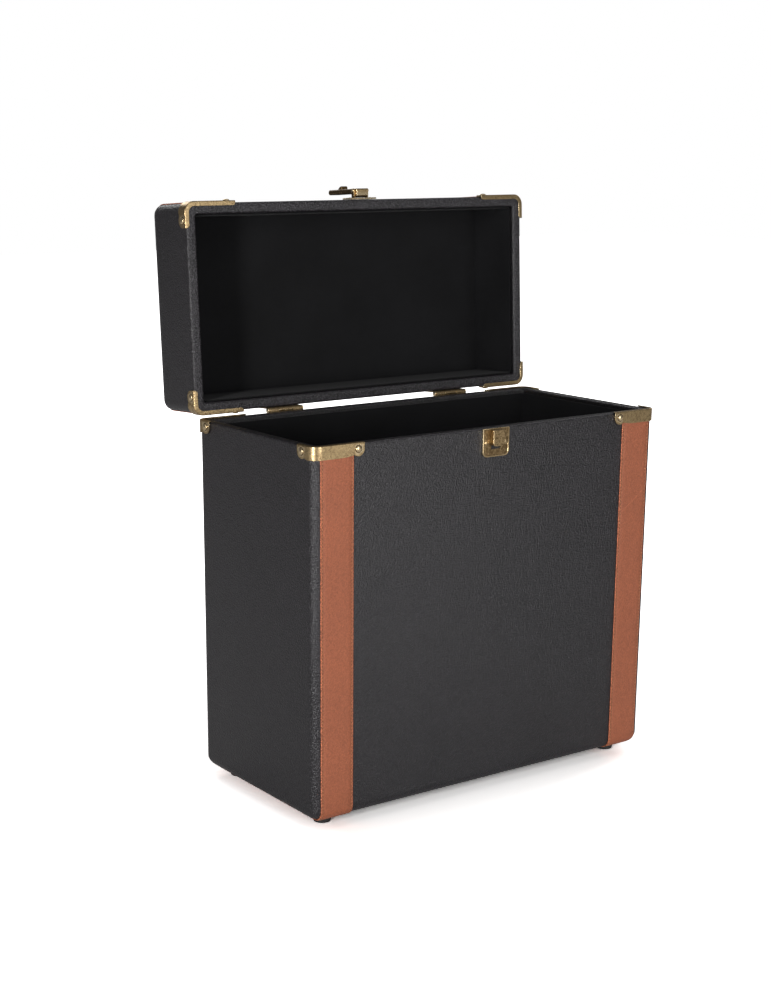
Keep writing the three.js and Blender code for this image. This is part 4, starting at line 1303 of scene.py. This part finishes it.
class RECORD_CASE_OT_handle(CasePieces):
    """Adds the carrying handle: its mounts, its eyes and its padded grip"""
    bl_idname = "record_case.handle"
    bl_label = "Handle"

    def build(self):
        handle, seat = settings("handle"), settings("case").seat
        place = on_lid_top()
        top = -seat - handle.eye
        low, half_width = top - handle.mount, handle.mount_width / 2
        for side_name, side in SIDES:
            centre, half = side * handle.spacing / 2, handle.mount_length / 2
            plate = block("plate", (centre - half, -half_width, low),
                          (centre + half, half_width, top))
            self.round_corners(plate, handle.mount_corner)
            bevelled(plate, 0.35 * MM)
            inner, foot = handle.eye_width / 2 + seat, top - handle.mount / 2
            for x in (centre + inner, centre - inner - handle.lug):
                arc = circle(handle.lug_radius, (0, 0), 14, 0, math.pi)
                lug = prism("lug", arc + [(-handle.lug_radius, foot), (handle.lug_radius, foot)],
                            "X", x, x + handle.lug)
                combined(plate, "UNION", bevelled(lug, FINE_EDGE))
            reach = inner + handle.lug / 2
            extra = [rod("pin", handle.pin, centre - reach, centre + reach, 0, 0)]
            extra += [turned("mount_rivet", dome(handle.rivet, handle.rivet_dome),
                             (centre + end * handle.rivet_spacing / 2, 0, top)) for end in (-1, 1)]
            finish_piece(joined(f"handle_bracket_{side_name}", [plate, *extra]), "lid",
                         "aged_brass", f"handle_mount_{side_name}", place=place, weighted=True)
        self.add_grip(place @ Matrix.Rotation(
            math.radians(-JOINTS["handle_pivot"]["range_deg"][0]), 4, "X"))

    def round_corners(self, plate, radius):
        mesh = open_mesh(plate)
        bpy.ops.mesh.select_all(action="DESELECT")
        for edge in mesh.edges:
            direction = edge.verts[0].co - edge.verts[1].co
            edge.select_set(abs(direction.z) > 0.9 * direction.length)
        bpy.ops.mesh.bevel(offset=radius, segments=5, affect="EDGES")
        close_mesh()

    def add_grip(self, place):
        """The padded grip on its metal eyes, laid out in the plane of the handle."""
        handle, case = settings("handle", "case")
        half = handle.spacing / 2
        side = [(half, 0), (half, handle.arm_rise), (half - handle.bend_inset, handle.bend_rise),
                (half - handle.shoulder, handle.reach)]
        points = side + [(0, handle.reach)] + [(-x, y) for x, y in reversed(side)]
        rings = []
        for centre, along in smooth_path([Vector((x, y, 0)) for x, y in points], 6):
            across = Vector((along.y, -along.x, 0))
            share = min(max((centre.y - handle.arm_rise) / (handle.reach - handle.arm_rise), 0), 1)
            full = share * share * (3 - 2 * share)
            wide = (handle.arm + (handle.grip_width - handle.arm) * full) / 2
            thick = (handle.arm + (handle.grip_thickness - handle.arm) * full) / 2
            rings.append([centre + across * wide * u + Vector((0, 0, thick * v))
                          for u, v in circle(1, steps=24)])
        finish_piece(skin("handle_leather", rings), "handle", "leatherette_brown", "handle_grip",
                     place=place)
        eyes = []
        ferrule = [(0, 4 * MM), (3.9 * MM, 4 * MM), (4.3 * MM, 4.6 * MM), (4.3 * MM, 10.4 * MM),
                   (3.9 * MM, 11 * MM), (0, 11 * MM)]
        for centre in (-half, half):
            eye = rod("eye", handle.eye, centre - handle.eye_width / 2,
                      centre + handle.eye_width / 2, 0, 0, 0.5 * MM)
            bore = rod("bore", handle.pin + case.seat, centre - handle.eye_width,
                       centre + handle.eye_width, 0, 0)
            eyes += [combined(eye, "DIFFERENCE", bore),
                     turned("ferrule", ferrule, (centre, 0, 0), (0, 1, 0))]
        finish_piece(joined("handle_eyes", eyes), "handle", "aged_brass", place=place,
                     weighted=True)


class RECORD_CASE_OT_feet(CasePieces):
    """Adds the four rubber feet"""
    bl_idname = "record_case.feet"
    bl_label = "Feet"

    def build(self):
        for end_name, _ in ENDS:
            for side_name, _ in SIDES:
                node = f"foot_{end_name}_{side_name}"
                low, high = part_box(node)
                wide, tall = (high.x - low.x) / 2, high.z - low.z
                narrow, soft = wide - 0.8 * MM, 0.9 * MM
                profile = [(0, 3 * MM), (2.6 * MM, 3 * MM), (2.9 * MM, 0.5 * MM), (3.3 * MM, 0)]
                profile += [(narrow - soft * (1 - math.sin(angle)), soft * (1 - math.cos(angle)))
                            for angle in quarter_steps(5)]
                profile += [(wide - 0.25 * MM, tall - 0.4 * MM), (wide - 0.5 * MM, tall),
                            (0, tall)]
                foot = turned(f"rubber_{node}", profile,
                              ((low.x + high.x) / 2, (low.y + high.y) / 2, 0))
                finish_piece(foot, "case", "foot_rubber", node)


class RECORD_CASE_OT_stage(CasePieces):
    """Adds the floor, the soft lamps, the pale world and the camera"""
    bl_idname = "record_case.stage"
    bl_label = "Stage"

    def build(self):
        clear_selection()
        bpy.ops.mesh.primitive_plane_add(size=14, location=(0, 0, 0))
        floor = bpy.context.object
        floor.name = "studio_floor"
        floor.data.materials.append(self.floor_material())
        self.add_world()
        for name, place, aim, size, power in LAMPS:
            bpy.ops.object.light_add(type="AREA", location=place)
            lamp = bpy.context.object
            lamp.name = name
            lamp.data.shape = "RECTANGLE"
            lamp.data.size, lamp.data.size_y = size
            lamp.data.energy = power
            sight = Vector((0, 0, aim)) - Vector(place)
            lamp.rotation_euler = sight.to_track_quat("-Z", "Y").to_euler()
        bpy.ops.object.camera_add()
        camera = bpy.context.object
        camera.name = "photo_camera"
        camera.data.sensor_width = 36
        camera.data.lens = CAMERA_LENS
        camera.data.shift_x, camera.data.shift_y = CAMERA_SHIFT
        camera.matrix_world = reduce(lambda matrix, turn: matrix @ Matrix.Rotation(
            turn[1], 4, turn[0]), CAMERA_TURNS, Matrix.Translation(CAMERA_PLACE))
        bpy.context.scene.camera = camera
        bpy.context.scene.view_settings.view_transform = "Standard"

    def floor_material(self):
        """A pale floor; what sees it directly sees it through a gain above one and a painted glow,
        so that it is white except in the deepest shadow, which the glow lightens beside the box.
        """
        material = bpy.data.materials.new("pale_floor")
        material.use_nodes = True
        material.node_tree.nodes.clear()
        nodes = Nodes(material.node_tree)
        plain = nodes.add("BsdfDiffuse", Color=(*settings("colours").floor, 1))
        shade = nodes.add("BsdfDiffuse", Color=FLOOR_SHADE)
        place = away = nodes.place()
        for operation, value in (("SUBTRACT", (0, MIDDLE_Y, 0)), ("ABSOLUTE", (0, 0, 0)),
                                 ("SUBTRACT", (HALF_X, HALF_Y, 0)), ("MAXIMUM", (0, 0, 0))):
            away = nodes.add("VectorMath", "Vector", {"operation": operation},
                             _0=away, _1=value)
        away = nodes.add("VectorMath", "Value", {"operation": "LENGTH"}, _0=away)
        beside = nodes.math("ABSOLUTE", nodes.add("SeparateXYZ", _0=place))
        # Painted light for camera rays: a glow that rises within 7 cm of the box's footprint, on
        # out to 45 cm, and along both sides of the box, lightening its shadow
        near, far = 0.07, 0.45
        painted_floor_glow = nodes.plus(nodes.span(away, 0.0, near, 0.0, 0.38),
                           nodes.span(away, near, far, 0.0, 0.6),
                           nodes.span(beside, HALF_X - 0.025, HALF_X + 0.008, 0.0, 0.4))
        white = nodes.add("AddShader", _0=shade,
                          _1=nodes.add("Emission", Color=WHITE, Strength=painted_floor_glow))
        seen = nodes.math("MAXIMUM", nodes.add("LightPath", "Is Camera Ray"),
                          nodes.add("LightPath", "Is Transmission Ray"))
        nodes.add("OutputMaterial", Surface=nodes.add("MixShader", _0=seen, _1=plain, _2=white))
        return material

    def add_world(self):
        world = bpy.data.worlds.new("studio")
        bpy.context.scene.world = world
        world.use_nodes = True
        world.node_tree.nodes.clear()
        nodes = Nodes(world.node_tree)
        soft = nodes.add("Background", Color=WHITE, Strength=WORLD_LIGHT)
        white = nodes.add("Background", Color=WHITE, Strength=1.0)
        nodes.add("OutputWorld", Surface=nodes.add(
            "MixShader", _0=nodes.add("LightPath", "Is Camera Ray"), _1=soft, _2=white))


OPERATORS = (
    RECORD_CASE_OT_shells, RECORD_CASE_OT_linings, RECORD_CASE_OT_straps,
    RECORD_CASE_OT_brackets, RECORD_CASE_OT_catch, RECORD_CASE_OT_hasp,
    RECORD_CASE_OT_hinges, RECORD_CASE_OT_handle, RECORD_CASE_OT_feet, RECORD_CASE_OT_stage,
)


class RECORD_CASE_PT_build(bpy.types.Panel):
    """Lists the steps that build the case, and its sizes and colours"""
    bl_idname = "RECORD_CASE_PT_build"
    bl_label = "Record case"
    bl_space_type = "VIEW_3D"
    bl_region_type = "UI"
    bl_category = "Record case"

    def draw(self, context):
        for operator in OPERATORS:
            self.layout.operator(operator.bl_idname)
        for group, kind in GROUPS.items():
            box = self.layout.box()
            box.label(text=group.title())
            for key in kind.__annotations__:
                box.prop(settings(group), key)


def register():
    for group, kind in GROUPS.items():
        bpy.utils.register_class(kind)
        setattr(bpy.types.Scene, "record_case_" + group, bpy.props.PointerProperty(type=kind))
    for kind in (*OPERATORS, RECORD_CASE_PT_build):
        bpy.utils.register_class(kind)


def unregister():
    for kind in (RECORD_CASE_PT_build, *reversed(OPERATORS)):
        bpy.utils.unregister_class(kind)
    for group, kind in reversed(GROUPS.items()):
        delattr(bpy.types.Scene, "record_case_" + group)
        bpy.utils.unregister_class(kind)


def main():
    register()
    for operator in OPERATORS:
        group, name = operator.bl_idname.split(".")
        getattr(getattr(bpy.ops, group), name)()
    clear_selection()


if __name__ == "__main__":
    main()
